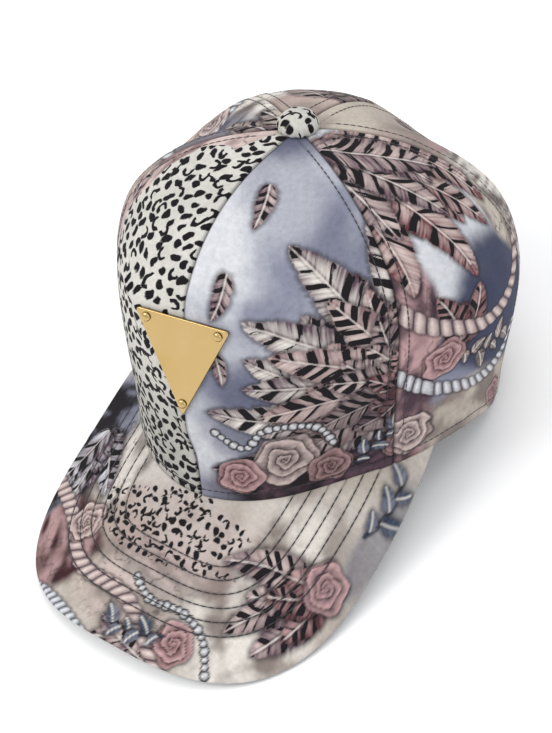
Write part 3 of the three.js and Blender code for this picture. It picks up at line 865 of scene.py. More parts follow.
def add_print(piece, flat_x, flat_y, cloth):
    # The dye with its painted shade, the ink and the flat place of each point, with plain dark cloth on
    # the rest
    mesh = piece.data
    total = len(mesh.vertices)
    count = len(cloth.ink)
    painted = np.ones((total, 4), np.float32)
    painted[:, :3] = dye("#2b2a2e")
    painted[:count, :3] = np.clip(cloth.colour, 0.0, 1.0)
    set_values(mesh, "print", "FLOAT_COLOR", painted, "color")
    edge = np.full(total, FAR_INK, np.float32)
    edge[:count] = cloth.ink
    set_values(mesh, "ink", "FLOAT", edge)
    laid = np.zeros((total, 2), np.float32)
    laid[:count] = np.stack([flat_x, flat_y], axis=1) * MM
    corners = np.empty(len(mesh.loops), np.int32)
    mesh.loops.foreach_get("vertex_index", corners)
    mesh.uv_layers.new(name="flat").data.foreach_set("uv", laid[corners].ravel())


def hand_over(piece, node=None, finishes=()):
    for finish in finishes:
        piece.data.materials.append(finish)
    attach(piece, "root")
    if node:
        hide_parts(node)


def arch_height(turn):
    away = np.minimum(np.abs(turn - math.pi) / ARCH_HALF, 1.0)
    return ARCH_HEIGHT * np.sqrt(1.0 - away * away)


def panel_turns(start, end, pitch):
    if 180 not in (start, end):
        return np.radians(np.linspace(start, end, int((end - start) * SIDE_DEGREE / pitch) + 1))
    seam = math.pi
    far = math.radians(start + end) - seam
    inward = 1 if far > seam else -1
    arched = seam + inward * ARCH_HALF * np.sin(np.linspace(0, math.pi / 2, int(ARCH_RUN / pitch)))
    count = int((abs(far - seam) - ARCH_HALF) * BACK_RADIAN / pitch)
    turns = np.concatenate([arched, np.linspace(seam + inward * ARCH_HALF, far, count)[1:]])
    return turns if inward > 0 else turns[::-1]


def cut_panel(name, start, end, pitch):
    turns = panel_turns(start, end, pitch)
    middle = math.radians(start + end) / 2
    lift = arch_height(turns)
    foot = np.where(lift > 0.001, climb_at(turns, lift), 0.0)[:, None]

    ladder = np.linspace(0.0, TOP_CLIMB, LADDER_STEPS)
    rungs = crown_point(np.full(LADDER_STEPS, middle), ladder)
    length = np.concatenate([[0.0], np.cumsum(np.linalg.norm(np.diff(rungs, axis=0), axis=1))])
    rows = int(length[-1] / pitch)
    climb_share = np.interp(np.linspace(0, length[-1], rows), length, ladder) / TOP_CLIMB
    climb = foot + (TOP_CLIMB - foot) * climb_share[None, :]
    turn = np.broadcast_to(turns[:, None], climb.shape)
    normal = crown_normal(turn, climb)
    outer = crown_point(turn, climb) + crown_relief(turn, climb)[..., None] * normal
    rim = crown_point(turns, foot[:, 0])
    hem = np.stack([
        rim - sunk * normal[:, 0] - np.array([0.0, 0.0, drop]) for sunk, drop in HEM_ROWS
    ], axis=1)
    skin = np.concatenate([hem, outer], axis=1)
    inner_share = np.linspace(0.0, 1.0, INNER_ROWS)[None, :] ** INNER_CROWDING
    inner_climb = foot + (TOP_CLIMB - foot) * inner_share
    inner_turn = np.broadcast_to(turns[:, None], inner_climb.shape)
    inner = crown_point(inner_turn, inner_climb) - CLOTH * crown_normal(inner_turn, inner_climb)

    index = numbered(skin)
    inside = numbered(inner, index.size)
    quads = np.concatenate([
        grid_quads(index), grid_quads(inside)[:, ::-1],
        strip_quads(inside[:, 0], index[:, 0]), strip_quads(index[:, -1], inside[:, -1]),
    ])
    sides = turned_over(bridge(inside[0], index[0])) + bridge(inside[-1], index[-1])
    points = np.concatenate([skin.reshape(-1, 3), inner.reshape(-1, 3)])
    panel = sewn_mesh(name.replace("_panel", "_cloth"), points, quads, sides, index.size)

    climbs = np.concatenate([np.repeat(climb[:, :1], len(HEM_ROWS), axis=1), climb], axis=1).ravel()
    radius = from_apex(skin).ravel()
    spread = np.repeat(turns, skin.shape[1])
    flat_x = (spread - middle) * radius
    flat_y = np.interp(climbs, ladder, length)
    cloth = PRINTS[name](flat_x, flat_y)
    beside, stitch = seam_distance(spread, radius)
    # Painted shade: the print is darkened in each seam's valley and along the rows of topstitching,
    # where the thread draws the cloth in.
    painted_seam_shade = SEAM_SHADE * ridge(beside, 0.7)
    painted_seam_shade = painted_seam_shade + THREAD_SHADE * ridge(beside - stitch, THREAD_SPREAD) * (stitch > 0)
    cloth.colour *= (1.0 - painted_seam_shade)[:, None]
    add_print(panel, flat_x, flat_y, cloth)
    if name == "front_right_panel":
        hand_over(panel, name, (spotted_cloth, stiffener))
    else:
        hand_over(panel, name, (crown_cloth, stiffener))


for name, start, end, pitch in PANELS:
    cut_panel(name, start, end, pitch)

# The stitching: dark polyester thread, sewn in lockstitch rows beside every seam but the
# front one, and round the rim. Each stitch is a short bow of thread that dips into the
# cloth at both ends.
STITCH_LENGTH = 2.5
STITCH_GAP = 0.45
STITCH_BOW = 0.28
STITCH_DIP = 0.9
THREAD = 0.55
STITCH_LIFT = 0.05
ROW_POINTS = 240
# Where the rows end, as turns or climbs, and how far outside the arch its row runs
SEAM_ROW_FOOT = 0.03
SEAM_ROW_TOP = math.radians(83)
RIM_ROW_SHORT = 0.05
ARCH_ROW_SHORT = 0.12
ARCH_ROW_OUT = 0.045


def guided_tree(name, inputs, nodes, links):
    # A tree that sets small pieces along guide lines. A row of nodes gives each its label,
    # kind, settings and values, and a row of links an output and the input it goes to.
    inputs = (("Guides", "Geometry"), *inputs, ("Finish", "Material"))
    tree, given, result = new_tree(name, "GeometryNodeTree", inputs, (("Pieces", "Geometry"),))
    made = {"given": given, "result": result}
    for label, kind, settings, values in nodes + (
        ("curve", "GeometryNodeMeshToCurve", {}, {}),
        ("outward", "GeometryNodeInputNamedAttribute",
         {"data_type": "FLOAT_VECTOR"}, {"Name": "outward"}),
        ("set_down", "GeometryNodeInstanceOnPoints", {}, {}),
        ("real", "GeometryNodeRealizeInstances", {}, {}),
        ("finish", "GeometryNodeSetMaterial", {}, {}),
    ):
        node = tree.nodes.new(kind)
        for setting, value in settings.items():
            setattr(node, setting, value)
        for socket, value in values.items():
            node.inputs[socket].default_value = value
        made[label] = node
    for source, output, target, socket in links + (
        ("given", "Guides", "curve", 0),
        ("curve", 0, "spacing", "Curve"),
        ("outward", "Attribute", "facing", "Vector"),
        ("spacing", 0, "set_down", "Points"),
        ("facing", 0, "set_down", "Rotation"),
        ("set_down", 0, "real", 0),
        ("real", 0, "finish", "Geometry"),
        ("given", "Finish", "finish", "Material"),
        ("finish", 0, "result", 0),
    ):
        tree.links.new(made[source].outputs[output], made[target].inputs[socket])
    return tree


stitch_row = guided_tree(
    "stitch_row",
    (
        ("Length", "Float", STITCH_LENGTH * MM), ("Gap", "Float", STITCH_GAP * MM),
        ("Thread", "Float", THREAD * MM), ("Bow", "Float", STITCH_BOW * MM),
    ),
    (
        ("spacing", "GeometryNodeResampleCurve", {"mode": "LENGTH"}, {}),
        ("pitch", "ShaderNodeMath", {"operation": "ADD"}, {}),
        ("tangent", "GeometryNodeInputTangent", {}, {}),
        ("along", "FunctionNodeAlignRotationToVector", {"axis": "X"}, {}),
        ("facing", "FunctionNodeAlignRotationToVector", {"axis": "Z", "pivot_axis": "X"}, {}),
        ("ahead", "ShaderNodeMath", {"operation": "MULTIPLY"}, {1: 0.5}),
        ("behind", "ShaderNodeMath", {"operation": "MULTIPLY"}, {1: -0.5}),
        ("dip", "ShaderNodeMath", {"operation": "MULTIPLY"}, {1: -STITCH_DIP}),
        ("start", "ShaderNodeCombineXYZ", {}, {}),
        ("middle", "ShaderNodeCombineXYZ", {}, {}),
        ("end", "ShaderNodeCombineXYZ", {}, {}),
        ("bow", "GeometryNodeCurveQuadraticBezier", {}, {"Resolution": 4}),
        ("profile", "GeometryNodeCurvePrimitiveCircle", {}, {"Resolution": 6}),
        ("radius", "ShaderNodeMath", {"operation": "MULTIPLY"}, {1: 0.5}),
        ("thread", "GeometryNodeCurveToMesh", {}, {"Fill Caps": True}),
    ),
    (
        ("given", "Length", "pitch", 0),
        ("given", "Gap", "pitch", 1),
        ("pitch", 0, "spacing", "Length"),
        ("tangent", 0, "along", "Vector"),
        ("along", 0, "facing", "Rotation"),
        ("given", "Length", "ahead", 0),
        ("given", "Length", "behind", 0),
        ("given", "Bow", "dip", 0),
        ("behind", 0, "start", "X"),
        ("dip", 0, "start", "Z"),
        ("given", "Bow", "middle", "Z"),
        ("ahead", 0, "end", "X"),
        ("dip", 0, "end", "Z"),
        ("start", 0, "bow", "Start"),
        ("middle", 0, "bow", "Middle"),
        ("end", 0, "bow", "End"),
        ("given", "Thread", "radius", 0),
        ("radius", 0, "profile", "Radius"),
        ("bow", 0, "thread", "Curve"),
        ("profile", 0, "thread", "Profile Curve"),
        ("thread", 0, "set_down", "Instance"),
    ),
)


def thread_finish(name, dark, light):
    finish, tree, shader = new_finish(name, Roughness=0.55, Sheen_Weight=0.1)
    fibre = noise_node(tree, on_object(tree), 2500.0)
    spun = mix_node(tree, fibre, solid_colour(dark), solid_colour(light))
    tree.links.new(spun, shader.inputs["Base Color"])
    bumped(tree, shader, fibre, 0.3, 0.0001)
    return finish


dark_thread = thread_finish("dark_thread", "#0e0d10", "#26232a")


def follow(name, rows, slot, tree, finish, **sizes):
    # Runs a guided tree along rows of points and their normals, and keeps the plain mesh
    points = np.concatenate([row[0] for row in rows])
    normals = np.concatenate([row[1] for row in rows])
    edges = []
    first = 0
    for row, _ in rows:
        edges += [(first + k, first + k + 1) for k in range(len(row) - 1)]
        first += len(row)
    mesh = bpy.data.meshes.new(name + "_guides")
    mesh.from_pydata(at_rest(points).tolist(), edges, [])
    outward = (at_rest(points + normals) - at_rest(points)) / MM
    set_values(mesh, "outward", "FLOAT_VECTOR", outward, "vector")
    guides = in_scene(name + "_guides", mesh)
    modifier = guides.modifiers.new(tree.name, "NODES")
    modifier.node_group = tree
    sockets = {item.name: item.identifier for item in tree.interface.items_tree}
    modifier[sockets["Finish"]] = finish
    for label, value in sizes.items():
        modifier[sockets[label]] = value * MM
    bpy.context.view_layer.update()
    evaluated = guides.evaluated_get(bpy.context.evaluated_depsgraph_get())
    piece = in_scene(name, bpy.data.meshes.new_from_object(evaluated))
    piece.data.name = name
    bpy.data.objects.remove(guides)
    shade_smooth(piece.data)
    hand_over(piece)


def on_crown(turn, climb):
    normal = crown_normal(turn, climb)
    lift = crown_relief(turn, climb) + STITCH_LIFT
    return crown_point(turn, climb) + lift[..., None] * normal, normal


def beside_seam(seam, aside, low):
    climb = np.linspace(low, SEAM_ROW_TOP, ROW_POINTS)
    turn = np.full(ROW_POINTS, seam)
    for _ in range(3):
        turn = seam + aside / from_apex(free_crown(turn, climb))
    return on_crown(turn, climb)


seam_rows = []
for seam, aside in zip(SEAMS, TOPSTITCH):
    if aside == 0.0:
        continue
    at_arch = abs(seam - math.pi) < 0.01
    low = float(climb_at(np.array(seam), ARCH_HEIGHT + 1.0)) if at_arch else SEAM_ROW_FOOT
    seam_rows += [beside_seam(seam, -aside, low), beside_seam(seam, aside, low)]
follow("seam_stitches", seam_rows, "collage_print", stitch_row, dark_thread)

rim_reach = math.pi - ARCH_HALF - RIM_ROW_SHORT
rim_turns = np.linspace(-rim_reach, rim_reach, 900)
rim_row = on_crown(rim_turns, climb_at(rim_turns, rim_height(rim_turns) + RIM_STITCH))
arch_bend = np.linspace(ARCH_ROW_SHORT, math.pi - ARCH_ROW_SHORT, 300)
arch_turns = math.pi + (ARCH_HALF + ARCH_ROW_OUT) * np.cos(arch_bend)
arch_climb = climb_at(arch_turns, (ARCH_HEIGHT + RIM_STITCH) * np.sin(arch_bend))
arch_row = on_crown(arch_turns, arch_climb)
follow("rim_stitches", [rim_row, arch_row], "collage_print", stitch_row, dark_thread)

# The peak: a curved board between two layers of cloth, its edge turned and closed, with
# six rows of dark stitching that follow the front edge and run back into the crown.
PEAK_THICK = 3.0
PEAK_ROOT = math.radians(77)
PEAK_HALF_WIDTH = 81.5
PEAK_SHOULDER = 74.0
PEAK_REACH = 69.0
PEAK_CORNERS = (2.56, 2.55)
PEAK_SIDE_SWELL = 1.5
PEAK_CROWDING = 1.15
PEAK_UNDER = 0.4
PEAK_ROW_PITCH = 5.5
PEAK_ROWS_AT = 17.0 + PEAK_ROW_PITCH * np.arange(6)
PEAK_EDGE_ROUND = 1.5
CHANNEL_DEEP = 0.26
CHANNEL_SPREAD = 0.55
QUILT_RISE = 0.10
HEM_LINE_AT = 2.6
HEM_LINE_DEEP = 0.10
BOARD_WAVES = 0.22
CHANNEL_SHADE = 0.45
PEAK_END_ROUND = 1.6
PEAK_COLUMNS = 150
PEAK_LENGTHWISE = 125
PEAK_UNDER_ROWS = 24
OUTLINE_STEPS = 801
SIDE_STEPS = 120
EDGE_STEP_SHARES = np.array((0.02, 0.08, 0.2, 0.4, 0.7, 1.0))
BLOCK = 4000


def peak_outline(t):
    turn = np.abs(t) ** PEAK_CROWDING * math.pi / 2
    side = np.sign(t) * np.sin(turn) ** (2 / PEAK_CORNERS[0])
    ahead = np.maximum(np.cos(turn), 0.0) ** (2 / PEAK_CORNERS[1])
    tip = RIM_FRONT + PEAK_REACH
    return PEAK_HALF_WIDTH * side, PEAK_SHOULDER + (tip - PEAK_SHOULDER) * ahead


def peak_plan(t, share):
    turn = t * PEAK_ROOT
    rim = rim_radius(turn)
    edge_x, edge_f = peak_outline(t)
    swell = PEAK_SIDE_SWELL * t ** 3 * 4 * share * (1 - share)
    x = rim * np.sin(turn) + (edge_x - rim * np.sin(turn)) * share + swell
    f = rim * np.cos(turn) + (edge_f - rim * np.cos(turn)) * share
    return x, f


side_share = np.linspace(0, 1, SIDE_STEPS)
left_x, left_f = peak_plan(np.full(SIDE_STEPS, -1.0), side_share)
right_x, right_f = peak_plan(np.full(SIDE_STEPS, 1.0), side_share[::-1])
front_x, front_f = peak_plan(np.linspace(-1, 1, OUTLINE_STEPS), np.ones(OUTLINE_STEPS))
peak_rim = np.stack([
    np.concatenate([left_x[:-1], front_x, right_x[1:]]),
    np.concatenate([left_f[:-1], front_f, right_f[1:]]),
], axis=1)


def from_peak_edge(x, f):
    places = np.stack([np.ravel(x), np.ravel(f)], axis=1)
    distance = np.empty(len(places))
    for first in range(0, len(places), BLOCK):
        block = places[first:first + BLOCK]
        apart = ((block[:, None, :] - peak_rim[None, :, :]) ** 2).sum(axis=2)
        nearest = np.argmin(apart, axis=1)
        best = np.full(len(block), np.inf)
        for offset in (-1, 0):
            low = np.clip(nearest + offset, 0, len(peak_rim) - 2)
            origin = peak_rim[low]
            span = peak_rim[low + 1] - origin
            share = ((block - origin) * span).sum(1) / np.maximum((span * span).sum(1), 1e-9)
            foot = origin + span * np.clip(share, 0, 1)[:, None]
            best = np.minimum(best, np.linalg.norm(block - foot, axis=1))
        distance[first:first + BLOCK] = best
    return distance.reshape(np.shape(x))


def peak_face(x, f, side, distance):
    middle_z = peak_height(x, f) - PEAK_UNDER
    normal = np.stack([2 * PEAK_DROOP * x, np.full(x.shape, -PEAK_SLOPE), np.ones(x.shape)], axis=-1)
    normal = normal / np.linalg.norm(normal, axis=-1, keepdims=True)
    middle = np.stack([x, -f, middle_z], axis=-1) - normal * PEAK_THICK / 2
    fullness = np.sqrt(1.0 - (1.0 - np.clip(distance / PEAK_EDGE_ROUND, 0, 1)) ** 2)
    thick = side * fullness * PEAK_THICK / 2
    if side > 0:
        for row in PEAK_ROWS_AT:
            thick = thick - CHANNEL_DEEP * ridge(distance - row, CHANNEL_SPREAD)
        past_first = distance - PEAK_ROWS_AT[0]
        quilted = smooth(past_first / 2.0) * (1.0 - smooth((distance - PEAK_ROWS_AT[-1]) / 2.0))
        between = np.cos(past_first * 2 * math.pi / PEAK_ROW_PITCH)
        thick = thick + QUILT_RISE * quilted * (0.5 - 0.5 * between)
        thick = thick - HEM_LINE_DEEP * ridge(distance - HEM_LINE_AT, 0.8)
        thick = thick + BOARD_WAVES * mottle(x, f, 30.0, 77, 3) * fullness
    return middle + normal * thick[..., None], normal


def peak_print(x, y):
    cloth = FlatCloth(x, y, 210, SAND * 0.85, IVORY * 0.85, 40.0)
    cloth.lay(0.6 * smooth(1.4 * mottle(x, y, 22.0, 209)), TAUPE)
    front = 0.8 * cloth.blot((0.0, 132.0), (34.0, 20.0), 0.8, 220)
    cloth.crumpled(front, ROSE_CREAM * 0.9, TAUPE * 0.7, 0.2, 221, 0.7)
    stone = cloth.clouds(208, TAUPE * 0.8, IVORY, 13.0)
    cloth.lay(cloth.blot((52.0, 112.0), (30.0, 46.0), 0.7, 211), stone)
    cloth.lay(0.6 * cloth.blot((80.0, 64.0), (9.0, 30.0), 0.5, 212), CLOUD_DEEP)
    patch = cloth.blot((-78.0, 92.0), (22.0, 48.0), 0.4, 213)
    cloth.crumpled(patch, CLOUD_SLATE, INK, 0.2, 214, 0.7)
    patch = cloth.blot((-58.0, 128.0), (26.0, 20.0), 0.3, 215)
    cloth.crumpled(patch, DUSKY_PINK * 0.8, MAROON * 0.3, 1.1, 216)
    cloth.lay(0.35 * cloth.blot((-8.0, 106.0), (44.0, 18.0), 0.8, 217), DUSKY_PINK * 0.7)
    patch = 0.8 * cloth.blot((-44.0, 84.0), (10.0, 26.0), 0.4, 218)
    cloth.crumpled(patch, IVORY, TAUPE * 0.6, 1.3, 219, 0.6)
    bare = 5.0 * (1.0 - cloth.blot((-8.0, 106.0), (46.0, 21.0), 0.5, 217))
    cloth.spots(4.4, 1.5, 33, 0.9, 0.5, bare)
    cloth.plume((18.0, 158.0), 34.0, (160, 178, 196), 6.5, ROSE_CREAM, PLUM, 230, 6.5)
    cloth.plume((-72.0, 72.0), 40.0, (52, 68, 84, 100, 116), 7.5, CLOUD_PALE, PLUM, 240, 7.0)
    cloth.plume((72.0, 96.0), 48.0, (112, 130, 148, 166), 8.5, ROSE_CREAM, PLUM, 251, 7.0)
    cloth.plume((72.0, 96.0), 27.0, (104, 126, 148, 172), 7.0, DUSKY_PINK, MAROON * 0.6, 254, 5.5)
    cloth.sprig(((74.0, 66.0), (78.0, 52.0), (76.0, 36.0)), 12.0, CLOUD_SLATE, STEEL_BLUE * 0.5, 257)
    swag = ((-88.0, 96.0), (-62.0, 112.0), (-36.0, 134.0), (-4.0, 140.0), (30.0, 162.0))
    cloth.cord(swag, 6.5, ROSE_CREAM, PLUM, 260)
    swag = ((-70.0, 146.0), (-44.0, 150.0), (-16.0, 160.0))
    cloth.cord(swag, 5.0, CLOUD_PALE, STEEL_BLUE * 0.5, 262)
    cloth.rose((-48.0, 116.0), 9.0, ROSE_CREAM, MAROON, 2)
    cloth.rose((71.0, 92.0), 10.0, DUSKY_PINK, PLUM, 5)
    cloth.rose((26.0, 146.0), 9.0, DUSKY_PINK, MAROON, 4)
    cloth.sprig(((20.0, 146.0), (6.0, 150.0), (-6.0, 151.0)), 9.0, CLOUD_SLATE, STEEL_BLUE * 0.5, 257)
    bead_path = ((46.0, 150.0), (36.0, 138.0), (22.0, 134.0), (6.0, 136.0), (-6.0, 130.0))
    cloth.beads(bead_path, 1.5, CLOUD_PALE)
    return cloth


end_steps = EDGE_STEP_SHARES / PEAK_HALF_WIDTH * PEAK_END_ROUND
even_t = np.linspace(-1 + 0.025, 1 - 0.025, 2 * PEAK_COLUMNS + 1)
peak_t = np.concatenate([[-1.0], -1 + end_steps, even_t, (1 - end_steps)[::-1], [1.0]])
peak_t = np.unique(np.round(peak_t, 6))
near_edge = 1 - EDGE_STEP_SHARES * PEAK_EDGE_ROUND / PEAK_REACH
top_even = np.linspace(0, near_edge[-1], PEAK_LENGTHWISE)[:-1]
under_even = np.linspace(0, near_edge[-1], PEAK_UNDER_ROWS)[:-1]
top_share = np.concatenate([top_even, near_edge[::-1], [1.0]])
under_share = np.concatenate([under_even, near_edge[::-1][1::2], [1.0]])


def peak_grid(shares, side):
    # One face of the peak, with a first column tucked back under the crown's cloth
    t, share = np.meshgrid(peak_t, shares, indexing="ij")
    x, f = peak_plan(t, share)
    distance = from_peak_edge(x, f)
    points, _ = peak_face(x, f, side, distance)
    tuck = 1.0 - CLOTH / rim_radius(peak_t * PEAK_ROOT)
    tucked, _ = peak_face(x[:, 0] * tuck, f[:, 0] * tuck, side, distance[:, 0])
    tucked[:, 2] = points[:, 0, 2]
    return np.concatenate([tucked[:, None, :], points], axis=1), x, f


def with_tuck(values, tucked):
    return np.concatenate([tucked, values], axis=1).ravel()


top_points, top_x, top_f = peak_grid(top_share, 1.0)
under_points, _, _ = peak_grid(under_share, -1.0)
top_index = numbered(top_points)
under_index = numbered(under_points, top_index.size)
under_index[:, -1] = top_index[:, -1]
peak_sides = turned_over(bridge(top_index[0], under_index[0]))
peak_sides += bridge(top_index[-1], under_index[-1])
peak_piece = sewn_mesh(
    "peak_cloth",
    np.concatenate([top_points.reshape(-1, 3), under_points.reshape(-1, 3)]),
    np.concatenate([
        grid_quads(top_index)[:, ::-1], grid_quads(under_index),
        strip_quads(top_index[:, 0], under_index[:, 0]),
    ]),
    peak_sides,
    top_index.size,
)
bow = 2 * PEAK_DROOP * top_x
arc_x = np.arcsinh(bow) / (4 * PEAK_DROOP) + top_x / 2 * np.hypot(1.0, bow)
flat_x = with_tuck(arc_x, arc_x[:, :1])
flat_y = with_tuck(top_f, top_f[:, :1] - CLOTH)
peak_cloth = peak_print(flat_x, flat_y)
groove = ridge(from_peak_edge(top_x, top_f)[..., None] - PEAK_ROWS_AT, 0.5).sum(axis=-1)
peak_cloth.colour *= (1.0 - CHANNEL_SHADE * with_tuck(groove, groove[:, :1]))[:, None]
add_print(peak_piece, flat_x, flat_y * math.hypot(1.0, PEAK_SLOPE), peak_cloth)
under_cloth = plain_cloth("under_peak_cloth", "#232227", "#35343a", 0.0007)
hand_over(peak_piece, "peak", (printed_cloth("peak_twill", 0.012), under_cloth))

peak_rows = []
fine_share = np.linspace(0.0, 1.0, ROW_POINTS)
row_x, row_f = peak_plan(*np.meshgrid(peak_t, fine_share, indexing="ij"))
row_distance = from_peak_edge(row_x, row_f)
for at in PEAK_ROWS_AT:
    columns = np.flatnonzero(row_distance[:, 3] > at)
    shares = np.array([np.interp(-at, -row_distance[k], fine_share) for k in columns])
    x, f = peak_plan(peak_t[columns], shares)
    points, normal = peak_face(x, f, 1.0, np.full(x.shape, at))
    peak_rows.append((points + STITCH_LIFT * normal, normal))
peak_sizes = {"Length": 3.2, "Gap": 0.3, "Thread": 0.6}
follow("peak_stitches", peak_rows, "peak_print", stitch_row, dark_thread, **peak_sizes)

# The sweatband: a folded strip of black cotton inside the rim, sewn along the rim and
# turned over at its upper edge. It runs from one end of the snap strap to the other.
BAND_HALF = math.radians(147)
BAND_HEIGHT = 28.0
BAND_OUTER = CLOTH + 0.85
BAND_THICK = 1.1
BAND_STITCH = 3.6
BAND_RIPPLE = 0.10
BAND_DRAW = 0.16


def rounded_loop(low, high, near, far, corner, steps):
    rise = np.linspace(low + corner, high - corner, steps)
    bend = np.linspace(0, math.pi, 7)[1:-1]
    mean, half = (near + far) / 2, (far - near) / 2
    top = [(rise[-1] + corner * math.sin(b), mean - half * math.cos(b)) for b in bend]
    bottom = [(rise[0] - corner * math.sin(b), mean + half * math.cos(b)) for b in bend]
    return np.array([(h, near) for h in rise] + top + [(h, far) for h in rise[::-1]] + bottom)


def strip_inside(name, turns, loop, base, ripple, finish, node):
    # A strip that follows the crown's inside: its loop gives height and depth round its section
    height, sunk = loop[:, 0][None, :], loop[:, 1][None, :]
    turn = np.broadcast_to(turns[:, None], (len(turns), len(loop)))
    aim = np.maximum(base(turn) + height, base(turn) + 0.02)
    climb = np.where(height > 0.02, climb_at(turn, aim), 0.0)
    depth = sunk + ripple(turn, height)
    points = crown_point(turn, climb) - depth[..., None] * crown_normal(turn, climb)
    index = numbered(points)
    wrapped = np.concatenate([index, index[:, :1]], axis=1)
    half = len(loop) // 2
    caps = bridge(index[0, :half], index[0, :half - 1:-1])
    caps += turned_over(bridge(index[-1, :half], index[-1, :half - 1:-1]))
    strip = sewn_mesh(name, points.reshape(-1, 3), grid_quads(wrapped), caps)
    hand_over(strip, node, (finish,))


def band_ripple(turn, height):
    wave = value_noise(turn * 80.0, height, 7.0, 61) * ridge(height - BAND_HEIGHT + 4.5, 6.0)
    return BAND_RIPPLE * wave + BAND_DRAW * ridge(height - BAND_HEIGHT + BAND_STITCH, 0.5)


band_cloth = plain_cloth("band_cotton", "#131216", "#26252a", 0.0008)
strip_inside(
    "sweatband_cloth", np.linspace(-BAND_HALF, BAND_HALF, 420),
    rounded_loop(0.0, BAND_HEIGHT, BAND_OUTER, BAND_OUTER + BAND_THICK, 0.6, 26),
    rim_height, band_ripple, band_cloth, "sweatband",
)
band_turns = np.linspace(-BAND_HALF + 0.03, BAND_HALF - 0.03, 700)
band_climb = climb_at(band_turns, rim_height(band_turns) + BAND_HEIGHT - BAND_STITCH)
band_normal = crown_normal(band_turns, band_climb)
band_face = crown_point(band_turns, band_climb) - (BAND_OUTER + BAND_THICK + 0.02) * band_normal
grey_thread = thread_finish("grey_thread", "#3d3b42", "#6d6a72")
follow("band_stitches", [(band_face, -band_normal)], "band_cotton", stitch_row, grey_thread)

# The snap strap: moulded black plastic, closed behind the arch. Where its two halves
# overlap, a row of studs is pressed through.
STRAP_LOW = 3.5
STRAP_HIGH = 21.5
STRAP_MIDDLE = (STRAP_LOW + STRAP_HIGH) / 2
STRAP_OUTER = CLOTH + 0.5
STRAP_THICK = 1.4
STRAP_GROOVE = 0.25
STRAP_GROOVE_SPREAD = 5.5
STRAP_REACH = ARCH_HALF + math.radians(6.5)
STUD_COUNT = 7
STUD_RADIUS = 2.0
STUD_FLATNESS = 0.55
STUD_SUNK = 0.3
STUD_SPREAD = math.radians(17)

strap_plastic, tree, shader = new_finish("strap_plastic")
pebble = noise_node(tree, on_object(tree), 1500.0)
scuff = noise_node(tree, on_object(tree), 90.0, 6.0)
moulded = mix_node(tree, scuff, solid_colour("#17171b"), solid_colour("#2a2a30"))
tree.links.new(moulded, shader.inputs["Base Color"])
tree.links.new(math_node(tree, "MULTIPLY_ADD", scuff, 0.25, 0.3), shader.inputs["Roughness"])
bumped(tree, shader, pebble, 0.25, 0.0001)


def level_rim(turn):
    return np.zeros(np.shape(turn))


def strap_groove(turn, height):
    return STRAP_GROOVE * ridge(height - STRAP_MIDDLE, STRAP_GROOVE_SPREAD) + level_rim(turn)


strip_inside(
    "snap_strap_moulding", np.linspace(math.pi - STRAP_REACH, math.pi + STRAP_REACH, 120),
    rounded_loop(STRAP_LOW, STRAP_HIGH, STRAP_OUTER, STRAP_OUTER + STRAP_THICK, 0.7, 16),
    level_rim, strap_groove, strap_plastic, "snap_strap",
)
stud_row = guided_tree(
    "stud_row",
    (("Count", "Int", STUD_COUNT), ("Radius", "Float", STUD_RADIUS * MM)),
    (
        ("spacing", "GeometryNodeResampleCurve", {"mode": "COUNT"}, {}),
        ("facing", "FunctionNodeAlignRotationToVector", {"axis": "Z"}, {}),
        ("stud", "GeometryNodeMeshUVSphere", {}, {"Segments": 20, "Rings": 10}),
        ("flatness", "ShaderNodeCombineXYZ", {}, {"X": 1.0, "Y": 1.0, "Z": STUD_FLATNESS}),
    ),
    (
        ("given", "Count", "spacing", "Count"),
        ("given", "Radius", "stud", "Radius"),
        ("stud", "Mesh", "set_down", "Instance"),
        ("flatness", 0, "set_down", "Scale"),
    ),
)
stud_turns = np.linspace(math.pi - STUD_SPREAD, math.pi + STUD_SPREAD, 60)
stud_climb = climb_at(stud_turns, STRAP_MIDDLE)
stud_normal = crown_normal(stud_turns, stud_climb)
stud_points = crown_point(stud_turns, stud_climb) - (STRAP_OUTER + STUD_SUNK) * stud_normal
follow("strap_studs", [(stud_points, stud_normal)], "strap_plastic", stud_row, strap_plastic)

# The button: a pressed metal shell covered with the same spotted cloth, gathered in round
# its edge, and fixed through the point where the six panels meet.
BUTTON_RADIUS = 9.0
BUTTON_FOOT = 7.4
BUTTON_HEIGHT = 8.5
BUTTON_LIP = 1.6
BUTTON_GATHERS = 15
GATHER_DEPTH = 0.022
crown_top = np.array([APEX_SHIFT[0], APEX_SHIFT[1], CROWN_HEIGHT + 0.3])


def turned_piece(name, profile, steps, origin, axes, shape=None):
    # A piece turned round its own axis, with a point at each end of its profile
    turn = np.linspace(0, 2 * math.pi, steps, endpoint=False)[:, None]
    radius, height = profile[1:-1, 0][None, :], profile[1:-1, 1][None, :]
    if shape:
        radius = shape(turn, radius, height)
    ring = np.stack(np.broadcast_arrays(radius * np.cos(turn), radius * np.sin(turn), height), axis=-1)
    ends = np.array([[0.0, 0.0, profile[0, 1]], [0.0, 0.0, profile[-1, 1]]])
    shell = np.concatenate([ring.reshape(-1, 3), ends])
    looped = np.concatenate([numbered(ring), numbered(ring)[:1]], axis=0)
    piece = sewn_mesh(name, origin + shell @ axes, grid_quads(looped), end_fans(looped, len(shell)))
    return piece, shell


def end_fans(looped, total):
    low = [(looped[k + 1, 0], looped[k, 0], total - 2) for k in range(len(looped) - 1)]
    return low + [(looped[k, -1], looped[k + 1, -1], total - 1) for k in range(len(looped) - 1)]


def gathered(turn, radius, height):
    low = 1.0 - smooth((height - 0.4) / 3.4)
    pleat = np.cos(turn * BUTTON_GATHERS + 0.9 * np.sin(turn * 3.0))
    soft = 0.012 * np.cos(turn * 3.0 + 1.0) + 0.01 * np.cos(turn * 5.0)
    return radius * (1.0 + GATHER_DEPTH * pleat * low + soft * smooth(height / 4.0))


